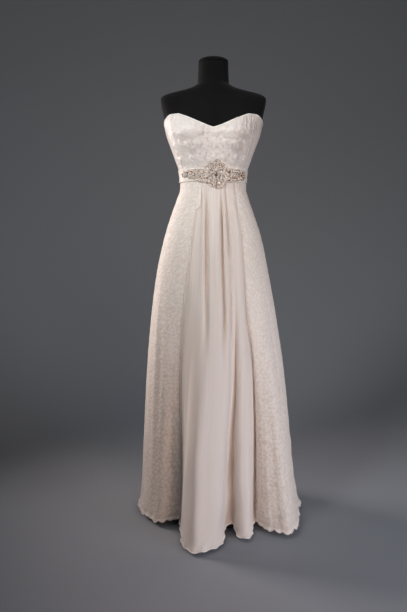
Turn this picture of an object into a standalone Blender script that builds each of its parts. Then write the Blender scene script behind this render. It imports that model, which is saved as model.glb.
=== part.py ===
"""A strapless wedding dress on a limbless dress form, in metres.

+Z is up, the front faces -Y and the origin lies on the floor under the middle of the stand's base.
The torso is one table of oval sections. The bodice and belt are laid on those sections, and the
skirt starts on them and falls through a table of fold lines that run from the waist to the hem.
"""
import math

import bmesh
import bpy
import numpy as np

MM = 0.001
CM = 0.01

# Cloth walls and the gaps between pieces
SEAM_GAP = 0.3 * MM
LIE_GAP = 0.5 * MM
BODICE_WALL = 2.0 * MM
SKIRT_WALL = 1.4 * MM
TRIM_WALL = 1.1 * MM
BODICE_LIFT = 1.2 * MM
DART_ROOM = 4.5 * MM

# Edges that turn by more than this are shaded sharp, and the sides of the round pieces
SHARP_DEGREES = 38.0
ROUND_SIDES = 24

# Heights of the dress
WAIST_SEAM_Z = 1.300
BELT_TOP_Z = 1.3195
BELT_BOTTOM_Z = 1.2805
BODICE_LOW_ROW_Z = 1.3245
ZIP_END_Z = 1.120
HEM_LEVEL_Z = 0.010

# Belt, pipings and plaque
BELT_WALL = 2.0 * MM
BELT_LIFT = BODICE_LIFT + BODICE_WALL + 0.4 * MM
BELT_HALF_OPENING = 0.6 * MM
PIPING_RADIUS = 1.1 * MM
PLAQUE_WALL = 1.4 * MM
PLAQUE_LIFT = BELT_LIFT + BELT_WALL + 0.4 * MM

# Concealed zip at centre back
ZIP_HALF_GAP = 1.2 * MM
ZIP_GAP_FADE = 40.0 * MM
ZIP_COIL_END_INSET = 4.0 * MM
ZIP_COIL_RINGS = 22
ZIP_COIL_WIDTH = 1.8 * MM
ZIP_COIL_WALL = 1.2 * MM
SLIDER_Z = 1.426
SLIDER_WIDTH = 6.4 * MM
SLIDER_HEIGHT = 10.0 * MM
SLIDER_WALL = 2.0 * MM
HINGE_ABOVE_MIDDLE = 1.5 * MM
EAR_OVERLAP = 0.2 * MM
EAR_HALF = 1.3 * MM
PIN_RADIUS = 0.6 * MM
PIN_PLAY = 0.3 * MM
EYE_RADIUS = 1.7 * MM
PULL_LENGTH = 24.0 * MM
PULL_WIDTH = 3.6 * MM
PULL_WALL = 1.2 * MM

# Dress form and its stand
FORM_BOTTOM_Z = 0.950
NECK_TOP_Z = 1.705
CAP_HEIGHT = 18.0 * MM
CAP_RADIUS = 54.0 * MM
CAP_FLAT_SHARE = 0.30
CAP_EDGE = 3.0 * MM
CAP_RINGS = 5
CAP_TOP_DEGREES = 88.0
COLLAR_RADIUS = 30.0 * MM
COLLAR_HEIGHT = 22.0 * MM
POLE_RADIUS = 14.0 * MM
BASE_RADIUS = 150.0 * MM
BASE_HEIGHT = 14.0 * MM
BASE_EDGE = 3.0 * MM

# Oval sections of the torso that the cloth lies on, in centimetres but for z. "square" is the
# exponent of the oval, 2 for an ellipse, and "bust" how far the two bust rounds come forward.
TORSO_COLUMNS = ("z", "half_width", "front", "back", "square", "bust")
TORSO = np.array([
    (0.950, 16.3, 9.9, 11.2, 2.2, 0.0),
    (1.030, 17.0, 10.4, 12.2, 2.2, 0.0),
    (1.100, 16.6, 10.4, 12.0, 2.2, 0.0),
    (1.163, 14.9, 10.0, 11.0, 2.2, 0.0),
    (1.207, 13.2, 9.5, 9.8, 2.2, 0.0),
    (1.250, 11.8, 9.1, 9.0, 2.2, 0.0),
    (1.302, 12.0, 9.1, 8.8, 2.2, 0.0),
    (1.367, 13.9, 9.8, 9.7, 2.2, 0.7),
    (1.410, 15.5, 10.1, 10.4, 2.3, 2.1),
    (1.453, 17.0, 10.0, 11.0, 2.4, 2.9),
    (1.478, 17.5, 9.6, 11.1, 2.5, 2.3),
    (1.514, 18.1, 8.7, 11.0, 2.7, 0.9),
    (1.556, 19.0, 7.4, 9.8, 2.8, 0.0),
    (1.577, 19.2, 6.6, 8.6, 2.7, 0.0),
    (1.589, 18.0, 6.2, 7.8, 2.5, 0.0),
    (1.599, 14.6, 6.0, 7.2, 2.4, 0.0),
    (1.609, 10.4, 5.9, 6.7, 2.2, 0.0),
    (1.621, 7.2, 5.8, 6.1, 2.1, 0.0),
    (1.633, 5.7, 5.6, 5.6, 2.0, 0.0),
    (1.705, 5.4, 5.4, 5.4, 2.0, 0.0),
])
BUST_X = 8.6 * CM
BUST_SPREAD = 6.0 * CM
BUST_FACING = 0.55
TORSO_SIDES = 32
TORSO_RINGS_Z = (1.705, 1.650, 1.633, 1.621, 1.609, 1.599, 1.589, 1.577, 1.556, 1.530, 1.500,
                 1.475, 1.450, 1.425, 1.395, 1.360, 1.325, 1.2997, 1.262, 1.225, 1.185, 1.140,
                 1.075, 1.010, 0.950)

# Height of the bodice's top edge at the angles of a turn from centre front to centre back
TOP_EDGE_COLUMNS = ("degrees", "z")
TOP_EDGE = np.array([
    (0.0, 1.4610),
    (12.0, 1.4790),
    (25.0, 1.4985),
    (38.0, 1.5110),
    (52.0, 1.5105),
    (66.0, 1.5010),
    (82.0, 1.4890),
    (105.0, 1.4720),
    (140.0, 1.4540),
    (180.0, 1.4480),
])

# Angles of the bodice's seams: princess seams at the waist and at the top, then the side back seam
PRINCESS_WAIST = 57.0
PRINCESS_TOP = 43.0
SIDE_BACK = 112.0
DART_DEGREES = 41.0
DART_WIDTH_DEGREES = 6.0
DART_DEPTH = 3.2 * MM
DART_LOW_Z = 1.322
DART_HIGH_Z = 1.436
DART_FADE = 0.035
DART_ROOM_FULL_Z = 1.360
DART_ROOM_FADE_Z = 1.440
DART_ROOM_END_Z = 1.505

# Rows of the bodice and cells across its panels, the belt and the plaque
BODICE_ROWS = 9
FRONT_CELLS = 22
SIDE_CELLS = 8
BACK_CELLS = 9
BELT_CELLS = 56
PLAQUE_CELLS = 40
PLAQUE_ROWS = 6

# Oval sections of the skirt without its folds, in centimetres but for z
SKIRT_COLUMNS = ("z", "left", "right", "front", "back")
SKIRT = np.array([
    (1.245, 12.35, 12.25, 9.3, 9.3),
    (1.207, 13.7, 13.4, 9.9, 10.4),
    (1.163, 15.3, 15.0, 10.9, 11.9),
    (1.074, 18.1, 17.9, 12.7, 14.6),
    (0.939, 21.1, 20.8, 13.9, 18.0),
    (0.756, 23.5, 24.2, 14.9, 21.4),
    (0.570, 25.1, 26.9, 15.5, 24.2),
    (0.284, 26.7, 29.8, 16.0, 27.6),
    (0.139, 27.3, 31.2, 16.2, 29.2),
    (0.010, 28.8, 33.6, 16.3, 30.6),
])
HEM_SQUARE = 2.0
HEM_SQUARE_Z = 0.75
HIP_SQUARE = 2.2
HIP_SQUARE_Z = 1.10
WAIST_LEVEL_Z = 1.250
SKIRT_LEAVES_TORSO_Z = 1.272
SKIRT_FREE_Z = 1.225
GATHERS_START_Z = 1.266
GATHERS_FULL_Z = 1.130
GATHERS_FADE_Z = 0.850
GATHERS_END_Z = 0.500

# Heights at which the front fold lines are placed, then the lines themselves from the left seam to
# the right seam of the chiffon: x in centimetres at those heights, how far the line stands out
# (or in, as a groove) at the hips, how far forward it hangs at the hem, and the hem's height.
FOLD_HEIGHTS = np.array([1.300, 1.030, 0.800, 0.570, 0.300, 0.010])
FRONT_FOLD_COLUMNS = ("name", "waist", "hip", "thigh", "knee", "shin", "hem", "hip_out",
                      "hem_front", "hem_z")
FRONT_FOLDS = (
    ("seam_left", -4.6, -8.5, -11.3, -12.1, -11.6, -12.4, 0.0, 12.3, 0.026),
    ("left_panel", -3.7, -6.1, -7.8, -9.6, -10.5, -11.4, 0.7, 21.0, 0.016),
    ("fold_1_corner", -2.9, -3.7, -4.2, -6.8, -8.9, -10.0, 0.8, 29.5, 0.012),
    ("groove_1", -2.3, -2.6, -2.6, -3.5, -5.9, -6.7, 0.1, 33.2, 0.011),
    ("ridge_1_left", -1.7, -1.4, -1.3, -1.2, -3.0, -3.9, 1.0, 32.6, 0.011),
    ("ridge_1_right", 2.0, 2.0, 2.5, 1.8, 0.2, -0.7, 1.0, 31.0, 0.011),
    ("groove_2", 2.7, 3.1, 3.7, 3.4, 2.0, 1.2, -0.4, 29.6, 0.011),
    ("ridge_2", 3.5, 4.3, 5.2, 5.1, 3.7, 2.8, 0.7, 26.3, 0.012),
    ("groove_3", 4.3, 5.7, 6.3, 6.4, 4.7, 3.9, -0.1, 20.0, 0.028),
    ("ridge_3", 4.8, 6.6, 7.1, 7.3, 5.7, 5.3, 0.6, 17.4, 0.034),
    ("groove_4", 5.3, 7.6, 7.9, 8.0, 7.0, 7.4, 0.5, 16.2, 0.034),
    ("fold_2_corner", 5.7, 8.5, 9.0, 9.1, 8.8, 9.2, 0.65, 22.2, 0.012),
    ("fold_2_nose", 6.1, 9.2, 10.1, 10.9, 10.7, 11.4, 0.7, 23.4, 0.011),
    ("fold_2_flank", 6.5, 9.9, 11.0, 12.2, 12.4, 13.2, 0.4, 22.0, 0.012),
    ("seam_right", 6.9, 10.6, 12.1, 14.6, 15.5, 15.4, 0.0, 11.2, 0.026),
)

# Fold lines of the lace from each seam round to the back: the turn from centre front at the waist
# and at the hem in degrees, how far the line is drawn out from the oval at the hem, as a factor,
# and the hem's height.
SIDE_FOLD_COLUMNS = ("name", "waist_turn", "hem_turn", "hem_reach", "hem_z")
RIGHT_FOLDS = (
    ("right_valley", 39.0, 27.6, 1.17, 0.016),
    ("corner_rise", 45.0, 29.8, 1.40, 0.014),
    ("corner_nose", 52.0, 32.5, 1.52, 0.012),
    ("corner_fall", 60.0, 42.5, 1.36, 0.016),
    ("right_front", 72.0, 60.0, 1.12, 0.016),
    ("right_side", 89.0, 86.0, 1.00, 0.014),
    ("back_right_1", 104.0, 103.0, 1.05, 0.010),
    ("back_right_2", 119.0, 119.0, 0.93, 0.018),
    ("back_right_3", 134.0, 133.0, 1.06, 0.010),
    ("back_right_4", 149.0, 149.0, 0.94, 0.018),
    ("back_right_5", 164.0, 165.0, 1.05, 0.010),
)
LEFT_FOLDS = (
    ("back_left_5", -166.0, -164.0, 1.06, 0.010),
    ("back_left_4", -151.0, -150.0, 0.95, 0.018),
    ("back_left_3", -136.0, -136.0, 1.04, 0.010),
    ("back_left_2", -121.0, -122.0, 0.94, 0.018),
    ("back_left_1", -106.0, -106.0, 1.04, 0.010),
    ("left_side", -88.0, -90.0, 1.00, 0.014),
    ("left_front", -66.0, -67.0, 0.97, 0.014),
    ("left_swell", -47.0, -46.0, 1.02, 0.012),
    ("left_valley", -33.0, -39.0, 0.89, 0.018),
)
BACK_SEAM = ("back_seam", 180.0, 180.0, 0.95, 0.018)
FOLDS_START_Z = 0.950
FOLD_POWER = 1.15

# Rows of the skirt down to its hem, and the longest cell along the hem
SKIRT_ROWS_Z = (1.2997, 1.262, 1.225, 1.185, 1.140, 1.075, 0.990, 0.890, 0.770, 0.640, 0.510,
                0.380, 0.250, 0.120)
LONGEST_HEM_CELL = 45.0 * MM

# Scalloped lace edges and hem borders
EDGE_SCALLOP = 42.0 * MM
EDGE_WIDTH = 17.0 * MM
EDGE_DEPTH = 7.0 * MM
EDGE_STEPS = 3
EDGE_CELL_MARGIN = 0.04
EDGE_MIDDLE_MARGIN = 0.1
SCALLOP_POWER = 0.7
LACE_EDGE_TOP_Z = 1.2765
HEM_BORDER = 16.0 * MM
HEM_SCALLOP = 30.0 * MM
HEM_SCALLOP_DEPTH = 6.0 * MM
HEM_STEPS = 3

# Outline of the beaded plaque: x in centimetres with its upper and lower edge above and below
# the belt's middle line
PLAQUE_COLUMNS = ("x", "above", "below")
PLAQUE = np.array([
    (-11.4, 0.5, 0.4),
    (-10.6, 1.5, 0.8),
    (-9.6, 1.3, 0.7),
    (-8.6, 1.8, 1.3),
    (-7.6, 1.6, 1.0),
    (-6.6, 2.0, 1.9),
    (-5.6, 1.9, 2.1),
    (-4.6, 2.1, 2.6),
    (-3.7, 2.0, 2.3),
    (-2.8, 2.8, 2.9),
    (-2.0, 3.0, 2.8),
    (-1.2, 4.0, 4.0),
    (-0.4, 3.9, 4.3),
    (0.4, 4.8, 4.5),
    (1.2, 5.3, 4.9),
    (2.0, 4.8, 4.5),
    (2.9, 4.0, 4.4),
    (3.7, 3.7, 3.8),
    (4.5, 2.6, 2.6),
    (5.4, 2.1, 2.3),
    (6.4, 2.2, 2.6),
    (7.4, 1.8, 2.1),
    (8.4, 2.0, 2.3),
    (9.4, 1.6, 1.8),
    (10.4, 1.7, 1.9),
    (11.3, 0.9, 1.1),
])

# Large stones and pearls on the plaque: x and height from the belt's middle line in centimetres,
# half the width and half the height in millimetres, and the kind. A stone's profile gives the
# share of its width at shares of its rise.
STONE_COLUMNS = ("x", "up", "half_width", "half_height", "kind")
STONES = (
    (0.9, 0.1, 5.5, 8.0, "crystal"),
    (0.9, 1.6, 4.0, 4.6, "crystal"),
    (1.3, 3.9, 3.0, 5.5, "crystal"),
    (-0.9, 0.8, 3.6, 5.0, "crystal"),
    (2.8, 0.8, 3.6, 5.0, "crystal"),
    (-0.8, -1.2, 3.2, 4.4, "crystal"),
    (2.7, -1.3, 3.2, 4.4, "crystal"),
    (2.0, -3.0, 4.6, 4.6, "pearl"),
    (-0.4, -3.0, 3.0, 3.0, "crystal"),
    (-3.4, 0.0, 4.2, 3.2, "crystal"),
    (-5.9, -0.2, 3.4, 2.8, "crystal"),
    (-8.3, -0.3, 2.8, 2.8, "crystal"),
    (5.2, 0.0, 4.2, 3.2, "crystal"),
    (7.6, -0.1, 3.4, 2.8, "crystal"),
    (9.9, -0.1, 2.8, 2.8, "crystal"),
)
STONE_RISE = 0.62
STONE_GAP = 0.6 * MM
STONE_SIDES = 8
STONE_PROFILE = ((0.34, 1.0), (0.78, 0.72), (1.0, 0.22), (0.94, 0.0))
BELT_CURVE_RADIUS = 9.0 * CM


def clear_scene():
    """Remove every object that the new scene starts with."""
    for found in list(bpy.data.objects):
        bpy.data.objects.remove(found, do_unlink=True)


def make_material(name, colour, roughness, metallic=0.0):
    """A Principled material with a linear colour."""
    material = bpy.data.materials.new(name)
    material.use_nodes = True
    shader = material.node_tree.nodes["Principled BSDF"]
    shader.inputs["Base Color"].default_value = (*colour, 1.0)
    shader.inputs["Roughness"].default_value = roughness
    shader.inputs["Metallic"].default_value = metallic
    return material


def smooth_column(table, column, place):
    """One column of a table at a place along its first column, without overshooting the rows."""
    order = np.argsort(table[:, 0])
    xs = table[order, 0]
    ys = table[order, column]
    steps = np.diff(xs)
    slopes = np.diff(ys) / steps
    tangents = np.empty(len(xs))
    tangents[0] = slopes[0]
    tangents[-1] = slopes[-1]
    same = slopes[:-1] * slopes[1:] > 0
    blend = 2.0 * slopes[:-1] * slopes[1:] / np.where(same, slopes[:-1] + slopes[1:], 1.0)
    tangents[1:-1] = np.where(same, blend, 0.0)
    place = min(max(place, xs[0]), xs[-1])
    i = min(int(np.searchsorted(xs, place, side="right")) - 1, len(steps) - 1)
    t = (place - xs[i]) / steps[i]
    start = ys[i] * (1 + 2 * t) * (1 - t) ** 2 + steps[i] * tangents[i] * t * (1 - t) ** 2
    end = ys[i + 1] * t * t * (3 - 2 * t) + steps[i] * tangents[i + 1] * t * t * (t - 1)
    return float(start + end)


def ease(value, low, high):
    """A soft step from 0 at low to 1 at high."""
    t = min(max((value - low) / (high - low), 0.0), 1.0)
    return t * t * (3 - 2 * t)


def mix(start, end, low, high, t):
    """The straight blend from start at low to end at high."""
    return start * ((high - t) / (high - low)) + end * ((t - low) / (high - low))


def bump(value, centre, width):
    """A round bump of height 1."""
    return math.exp(-((value - centre) / width) ** 2)


def oval_point(turn, half_width, front, back, square):
    """A point of an oval, where a turn of 0 faces the front and 90 degrees the right side."""
    s = math.sin(math.radians(turn))
    c = math.cos(math.radians(turn))
    x = half_width * math.copysign(abs(s) ** (2.0 / square), s)
    depth = front if c > 0 else back
    y = -depth * math.copysign(abs(c) ** (2.0 / square), c)
    return x, y


def torso_value(name, z):
    """One column of the torso's table at any height."""
    return smooth_column(TORSO, TORSO_COLUMNS.index(name), z)


def torso_point(turn, z, lift=0.0):
    """A point of the torso, moved out of it by lift."""
    x, y = oval_point(turn, torso_value("half_width", z) * CM + lift,
                      torso_value("front", z) * CM + lift,
                      torso_value("back", z) * CM + lift, torso_value("square", z))
    bust = torso_value("bust", z) * CM
    facing = ease(math.cos(math.radians(turn)), 0.0, BUST_FACING)
    rounds = bump(x, BUST_X, BUST_SPREAD) + bump(x, -BUST_X, BUST_SPREAD)
    return np.array((x, y - bust * rounds * facing, z))


def dart_room(turn, z):
    """How far the cloth stands off the torso where the underbust darts are sewn."""
    facing = ease(math.cos(math.radians(turn)), 0.1, 0.7)
    rising = ease(z, BODICE_LOW_ROW_Z, DART_ROOM_FULL_Z)
    return DART_ROOM * facing * rising * (1.0 - ease(z, DART_ROOM_FADE_Z, DART_ROOM_END_Z))


def dart_trough(turn, z):
    """Depth of the underbust darts."""
    rising = ease(z, DART_LOW_Z, DART_LOW_Z + DART_FADE)
    fading = ease(z, DART_HIGH_Z - DART_FADE, DART_HIGH_Z)
    return DART_DEPTH * rising * (1.0 - fading) * bump(abs(turn), DART_DEGREES, DART_WIDTH_DEGREES)


def bodice_point(turn, z, lift):
    """A point of the bodice's cloth, where lift counts from the wall's inner face."""
    out = BODICE_LIFT + lift + dart_room(turn, z) - dart_trough(turn, z)
    return torso_point(turn, z, out)


def cell_triangles(verts, rows, columns, flip):
    """Split each cell of a grid of vertices on its diagonal from top left to bottom right."""
    faces = []
    for r in range(rows - 1):
        for c in range(columns - 1):
            a, b = verts[r][c], verts[r][c + 1]
            e, f = verts[r + 1][c + 1], verts[r + 1][c]
            for corners in ((a, f, e), (a, e, b)):
                faces.append(corners[::-1] if flip else corners)
    return faces


def link_mesh(name, bm, material, smooth=True):
    """Make an object from a bmesh, with its faces out and round surfaces smooth."""
    bmesh.ops.recalc_face_normals(bm, faces=bm.faces)
    mesh = bpy.data.meshes.new(name)
    bm.to_mesh(mesh)
    bm.free()
    if smooth:
        mesh.shade_smooth()
        mesh.set_sharp_from_angle(angle=math.radians(SHARP_DEGREES))
    mesh.materials.append(material)
    made = bpy.data.objects.new(name, mesh)
    bpy.context.collection.objects.link(made)
    return made


def grid_wall(name, outer, inner, material):
    """A closed wall between two grids of points, with a strip of faces round its rim."""
    bm = bmesh.new()
    rows, columns = outer.shape[:2]
    out = [[bm.verts.new(point) for point in line] for line in outer]
    into = [[bm.verts.new(point) for point in line] for line in inner]
    faces = cell_triangles(out, rows, columns, False)
    faces += cell_triangles(into, rows, columns, True)
    rim = [(0, c) for c in range(columns)]
    rim += [(r, columns - 1) for r in range(1, rows)]
    rim += [(rows - 1, c) for c in range(columns - 2, -1, -1)]
    rim += [(r, 0) for r in range(rows - 2, 0, -1)]
    for here, there in zip(rim, rim[1:] + rim[:1]):
        a, b = out[here[0]][here[1]], out[there[0]][there[1]]
        c, d = into[there[0]][there[1]], into[here[0]][here[1]]
        faces += [(a, b, c), (a, c, d)]
    for corners in faces:
        bm.faces.new(corners)
    return link_mesh(name, bm, material)


def loft(name, rings, material):
    """A closed solid through closed rings, with a flat cap at each end."""
    bm = bmesh.new()
    made = [[bm.verts.new(point) for point in ring] for ring in rings]
    for upper, lower in zip(made, made[1:]):
        count = len(upper)
        for c in range(count):
            d = (c + 1) % count
            bm.faces.new((upper[c], lower[c], lower[d], upper[d]))
    bm.faces.new(made[0])
    bm.faces.new(made[-1][::-1])
    return link_mesh(name, bm, material)


def set_back(grid, column, toward, distance):
    """Draw one edge column of a grid toward its neighbour column by a distance for each row."""
    for r in range(grid.shape[0]):
        along = grid[r, toward] - grid[r, column]
        length = np.linalg.norm(along)
        grid[r, column] += along / length * distance(grid[r, column][2])


def seam_gap(z):
    """Half the gap of a plain seam, which is the same at every height."""
    return SEAM_GAP / 2


def back_gap(z):
    """Half the gap at centre back: wide enough for the zip's coil, then a plain seam."""
    zipped = ease(z, ZIP_END_Z - ZIP_GAP_FADE, ZIP_END_Z)
    return SEAM_GAP / 2 + (ZIP_HALF_GAP - SEAM_GAP / 2) * zipped


# --- Torso, cap, collar, pole and base of the stand ----------------------------------------


def build_dress_form(cloth, wood, metal):
    """A limbless torso on a pole and a round base."""
    rings = []
    for z in TORSO_RINGS_Z:
        turns = [180.0 + 360.0 * k / TORSO_SIDES for k in range(TORSO_SIDES)]
        rings.append([torso_point((turn + 180.0) % 360.0 - 180.0, z) for turn in turns])
    loft("form_torso", rings, cloth)
    cap_rings = []
    for lean in np.radians(np.linspace(CAP_TOP_DEGREES, 0.0, CAP_RINGS)):
        radius = CAP_RADIUS * (CAP_FLAT_SHARE + (1.0 - CAP_FLAT_SHARE) * math.cos(lean))
        rise = CAP_EDGE + (CAP_HEIGHT - CAP_EDGE) * math.sin(lean)
        cap_rings.append(circle_ring(radius, NECK_TOP_Z + SEAM_GAP + rise))
    cap_rings.append(circle_ring(CAP_RADIUS, NECK_TOP_Z + SEAM_GAP))
    loft("form_neck_cap", cap_rings, cloth)
    collar_top = FORM_BOTTOM_Z - SEAM_GAP
    collar_bottom = collar_top - COLLAR_HEIGHT
    loft("form_collar", [circle_ring(COLLAR_RADIUS, collar_top),
                         circle_ring(COLLAR_RADIUS, collar_bottom)], wood)
    loft("stand_pole", [circle_ring(POLE_RADIUS, collar_bottom - SEAM_GAP),
                        circle_ring(POLE_RADIUS, BASE_HEIGHT + SEAM_GAP)], metal)
    loft("stand_base", [circle_ring(BASE_RADIUS - BASE_EDGE, BASE_HEIGHT),
                        circle_ring(BASE_RADIUS, BASE_HEIGHT - BASE_EDGE),
                        circle_ring(BASE_RADIUS, 0.0)], metal)


def circle_ring(radius, z):
    """A level ring of points round the upright axis."""
    turns = [2.0 * math.pi * k / ROUND_SIDES for k in range(ROUND_SIDES)]
    return [(radius * math.cos(t), radius * math.sin(t), z) for t in turns]


# --- Bodice --------------------------------------------------------------------------------


def top_edge(turn):
    """Height of the bodice's top edge at a turn."""
    return smooth_column(TOP_EDGE, TOP_EDGE_COLUMNS.index("z"), abs(turn))


def bodice_row_z(row, turn):
    """Height of a row: the top edge, rows evenly below it, a level row above the belt, the seam."""
    if row == BODICE_ROWS - 1:
        return WAIST_SEAM_Z + SEAM_GAP
    return top_edge(turn) + (BODICE_LOW_ROW_Z - top_edge(turn)) * row / (BODICE_ROWS - 2)


def princess_turn(height):
    """Angle of the princess seam at a fraction of the bodice's height."""
    return PRINCESS_WAIST + (PRINCESS_TOP - PRINCESS_WAIST) * height


def bodice_panel(name, start, end, cells, gaps, material):
    """A panel between two seams; start and end give their angle at a fraction of the height."""
    grids = []
    for lift in (BODICE_WALL, 0.0):
        grid = np.empty((BODICE_ROWS, cells + 1, 3))
        for r in range(BODICE_ROWS):
            height = 1.0 - r / (BODICE_ROWS - 1)
            for c in range(cells + 1):
                turn = start(height) + (end(height) - start(height)) * c / cells
                grid[r, c] = bodice_point(turn, bodice_row_z(r, turn), lift)
        set_back(grid, 0, 1, gaps[0])
        set_back(grid, -1, -2, gaps[1])
        grids.append(grid)
    return grid_wall(name, grids[0], grids[1], material)


def build_bodice(satin):
    def fixed(turn):
        return lambda height: turn

    def left_princess(height):
        return -princess_turn(height)

    bodice_panel("bodice_back_left", fixed(-180.0), fixed(-SIDE_BACK), BACK_CELLS,
                 (back_gap, seam_gap), satin)
    bodice_panel("bodice_side_left", fixed(-SIDE_BACK), left_princess, SIDE_CELLS,
                 (seam_gap, seam_gap), satin)
    bodice_panel("bodice_front", left_princess, princess_turn, FRONT_CELLS,
                 (seam_gap, seam_gap), satin)
    bodice_panel("bodice_side_right", princess_turn, fixed(SIDE_BACK), SIDE_CELLS,
                 (seam_gap, seam_gap), satin)
    bodice_panel("bodice_back_right", fixed(SIDE_BACK), fixed(180.0), BACK_CELLS,
                 (seam_gap, back_gap), satin)


# --- Belt, pipings, plaque and stones ------------------------------------------------------


def belt_turns():
    """The turns of the belt's columns, with its opening at centre back."""
    edge = math.degrees(BELT_HALF_OPENING / (torso_value("back", WAIST_SEAM_Z) * CM))
    return np.linspace(-180.0 + edge, 180.0 - edge, BELT_CELLS + 1)


def belt_point(turn, z, lift):
    """A point over the belt, which lies on the bodice and hangs straight below the waist seam."""
    if z > BODICE_LOW_ROW_Z:
        return torso_point(turn, z, lift + dart_room(turn, z))
    low = torso_point(turn, WAIST_SEAM_Z, lift)
    high = torso_point(turn, BODICE_LOW_ROW_Z, lift)
    point = mix(low, high, WAIST_SEAM_Z, BODICE_LOW_ROW_Z, max(z, WAIST_SEAM_Z))
    point[2] = z
    return point


def piping(name, z, material):
    """A four-sided cord along one edge of the belt."""
    rings = []
    lift = BELT_LIFT + PIPING_RADIUS
    for turn in belt_turns():
        centre = belt_point(turn, z, lift)
        out = belt_point(turn, z, lift + PIPING_RADIUS) - centre
        up = np.array((0.0, 0.0, PIPING_RADIUS))
        rings.append([centre + up, centre - out, centre - up, centre + out])
    return loft(name, rings, material)


def build_belt(satin, braid):
    outer = np.empty((3, BELT_CELLS + 1, 3))
    inner = np.empty((3, BELT_CELLS + 1, 3))
    for r, z in enumerate((BELT_TOP_Z, WAIST_SEAM_Z, BELT_BOTTOM_Z)):
        for c, turn in enumerate(belt_turns()):
            outer[r, c] = belt_point(turn, z, BELT_LIFT + BELT_WALL)
            inner[r, c] = belt_point(turn, z, BELT_LIFT)
    grid_wall("belt_band", outer, inner, satin)
    piping("belt_piping_top", BELT_TOP_Z + SEAM_GAP + PIPING_RADIUS, braid)
    piping("belt_piping_bottom", BELT_BOTTOM_Z - SEAM_GAP - PIPING_RADIUS, braid)


def plaque_turn(x):
    """The turn at which the plaque's surface has this x."""
    wide = torso_value("half_width", WAIST_SEAM_Z) * CM + PLAQUE_LIFT
    share = min(max(x / wide, -1.0), 1.0)
    power = torso_value("square", WAIST_SEAM_Z) / 2.0
    return math.degrees(math.asin(math.copysign(abs(share) ** power, share)))


def plaque_edge(x, column):
    """How far the plaque reaches above or below the belt's middle line."""
    return smooth_column(PLAQUE, PLAQUE_COLUMNS.index(column), x) * CM


def build_plaque(beaded, crystal, pearl):
    """The stiff beaded plaque on the front of the belt, and its large stones."""
    grids = []
    for lift in (PLAQUE_LIFT + PLAQUE_WALL, PLAQUE_LIFT):
        grid = np.empty((PLAQUE_ROWS, PLAQUE_CELLS + 1, 3))
        ends = [plaque_turn(PLAQUE[end, 0] * CM) for end in (0, -1)]
        for c, turn in enumerate(np.linspace(*ends, PLAQUE_CELLS + 1)):
            x = belt_point(turn, WAIST_SEAM_Z, PLAQUE_LIFT)[0] / CM
            high = WAIST_SEAM_Z + plaque_edge(x, "above")
            low = WAIST_SEAM_Z - plaque_edge(x, "below")
            for r, z in enumerate(np.linspace(high, low, PLAQUE_ROWS)):
                grid[r, c] = belt_point(turn, z, lift)
        grids.append(grid)
    grid_wall("belt_applique", grids[0], grids[1], beaded)
    for number, stone in enumerate(STONES, start=1):
        row = dict(zip(STONE_COLUMNS, stone))
        material = pearl if row["kind"] == "pearl" else crystal
        build_stone("stone_%02d" % number, row["x"] * CM, row["up"] * CM,
                    row["half_width"] * MM, row["half_height"] * MM, material)


def build_stone(name, x, up, half_width, half_height, material):
    """A domed stone with a flat back, seated on the plaque."""
    z = WAIST_SEAM_Z + up
    top = PLAQUE_LIFT + PLAQUE_WALL
    seat = belt_point(plaque_turn(x), z, top)
    across = belt_point(plaque_turn(x + half_width), z, top) \
        - belt_point(plaque_turn(x - half_width), z, top)
    upward = belt_point(plaque_turn(x), z + half_height, top) \
        - belt_point(plaque_turn(x), z - half_height, top)
    across /= np.linalg.norm(across)
    upward /= np.linalg.norm(upward)
    out = np.cross(across, upward)
    stand_off = STONE_GAP + half_width ** 2 / (2 * BELT_CURVE_RADIUS)
    rise = STONE_RISE * min(half_width, half_height)
    rings = []
    for share, height in STONE_PROFILE:
        ring = []
        for t in np.linspace(0.0, 2.0 * math.pi, STONE_SIDES, endpoint=False):
            point = seat + across * (math.cos(t) * half_width * share)
            point = point + upward * (math.sin(t) * half_height * share)
            ring.append(point + out * (stand_off + rise * height))
        rings.append(ring)
    loft(name, rings, material)


# --- Skirt ---------------------------------------------------------------------------------


def skirt_section(z):
    """Left, right, front and back reach and the oval exponent of the skirt without its folds."""
    lift = BODICE_LIFT + SKIRT_WALL / 2
    near = [torso_value(name, max(z, WAIST_LEVEL_Z)) * CM + lift
            for name in ("half_width", "half_width", "front", "back")]
    free = [smooth_column(SKIRT, SKIRT_COLUMNS.index(name), z) * CM
            for name in ("left", "right", "front", "back")]
    fall = 1.0 - ease(z, SKIRT_FREE_Z, SKIRT_LEAVES_TORSO_Z)
    reach = [a + (b - a) * fall for a, b in zip(near, free)]
    return reach, HEM_SQUARE + (HIP_SQUARE - HEM_SQUARE) * ease(z, HEM_SQUARE_Z, HIP_SQUARE_Z)


def skirt_oval(turn, z):
    """A point of the plain skirt's oval."""
    (left, right, front, back), square = skirt_section(z)
    half_width = right if turn > 0 else left
    return oval_point(turn, half_width, front, back, square)


def front_depth(x, z):
    """How far the plain skirt's front lies before the middle plane at this x."""
    (left, right, front, _), square = skirt_section(z)
    half_width = right if x > 0 else left
    return front * (1.0 - abs(x / half_width) ** square) ** (1.0 / square)


def fold_share(z):
    """How much of a hem fold is there at this height."""
    down = (FOLDS_START_Z - z) / (FOLDS_START_Z - HEM_LEVEL_Z)
    return min(max(down, 0.0), 1.0) ** FOLD_POWER


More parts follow.
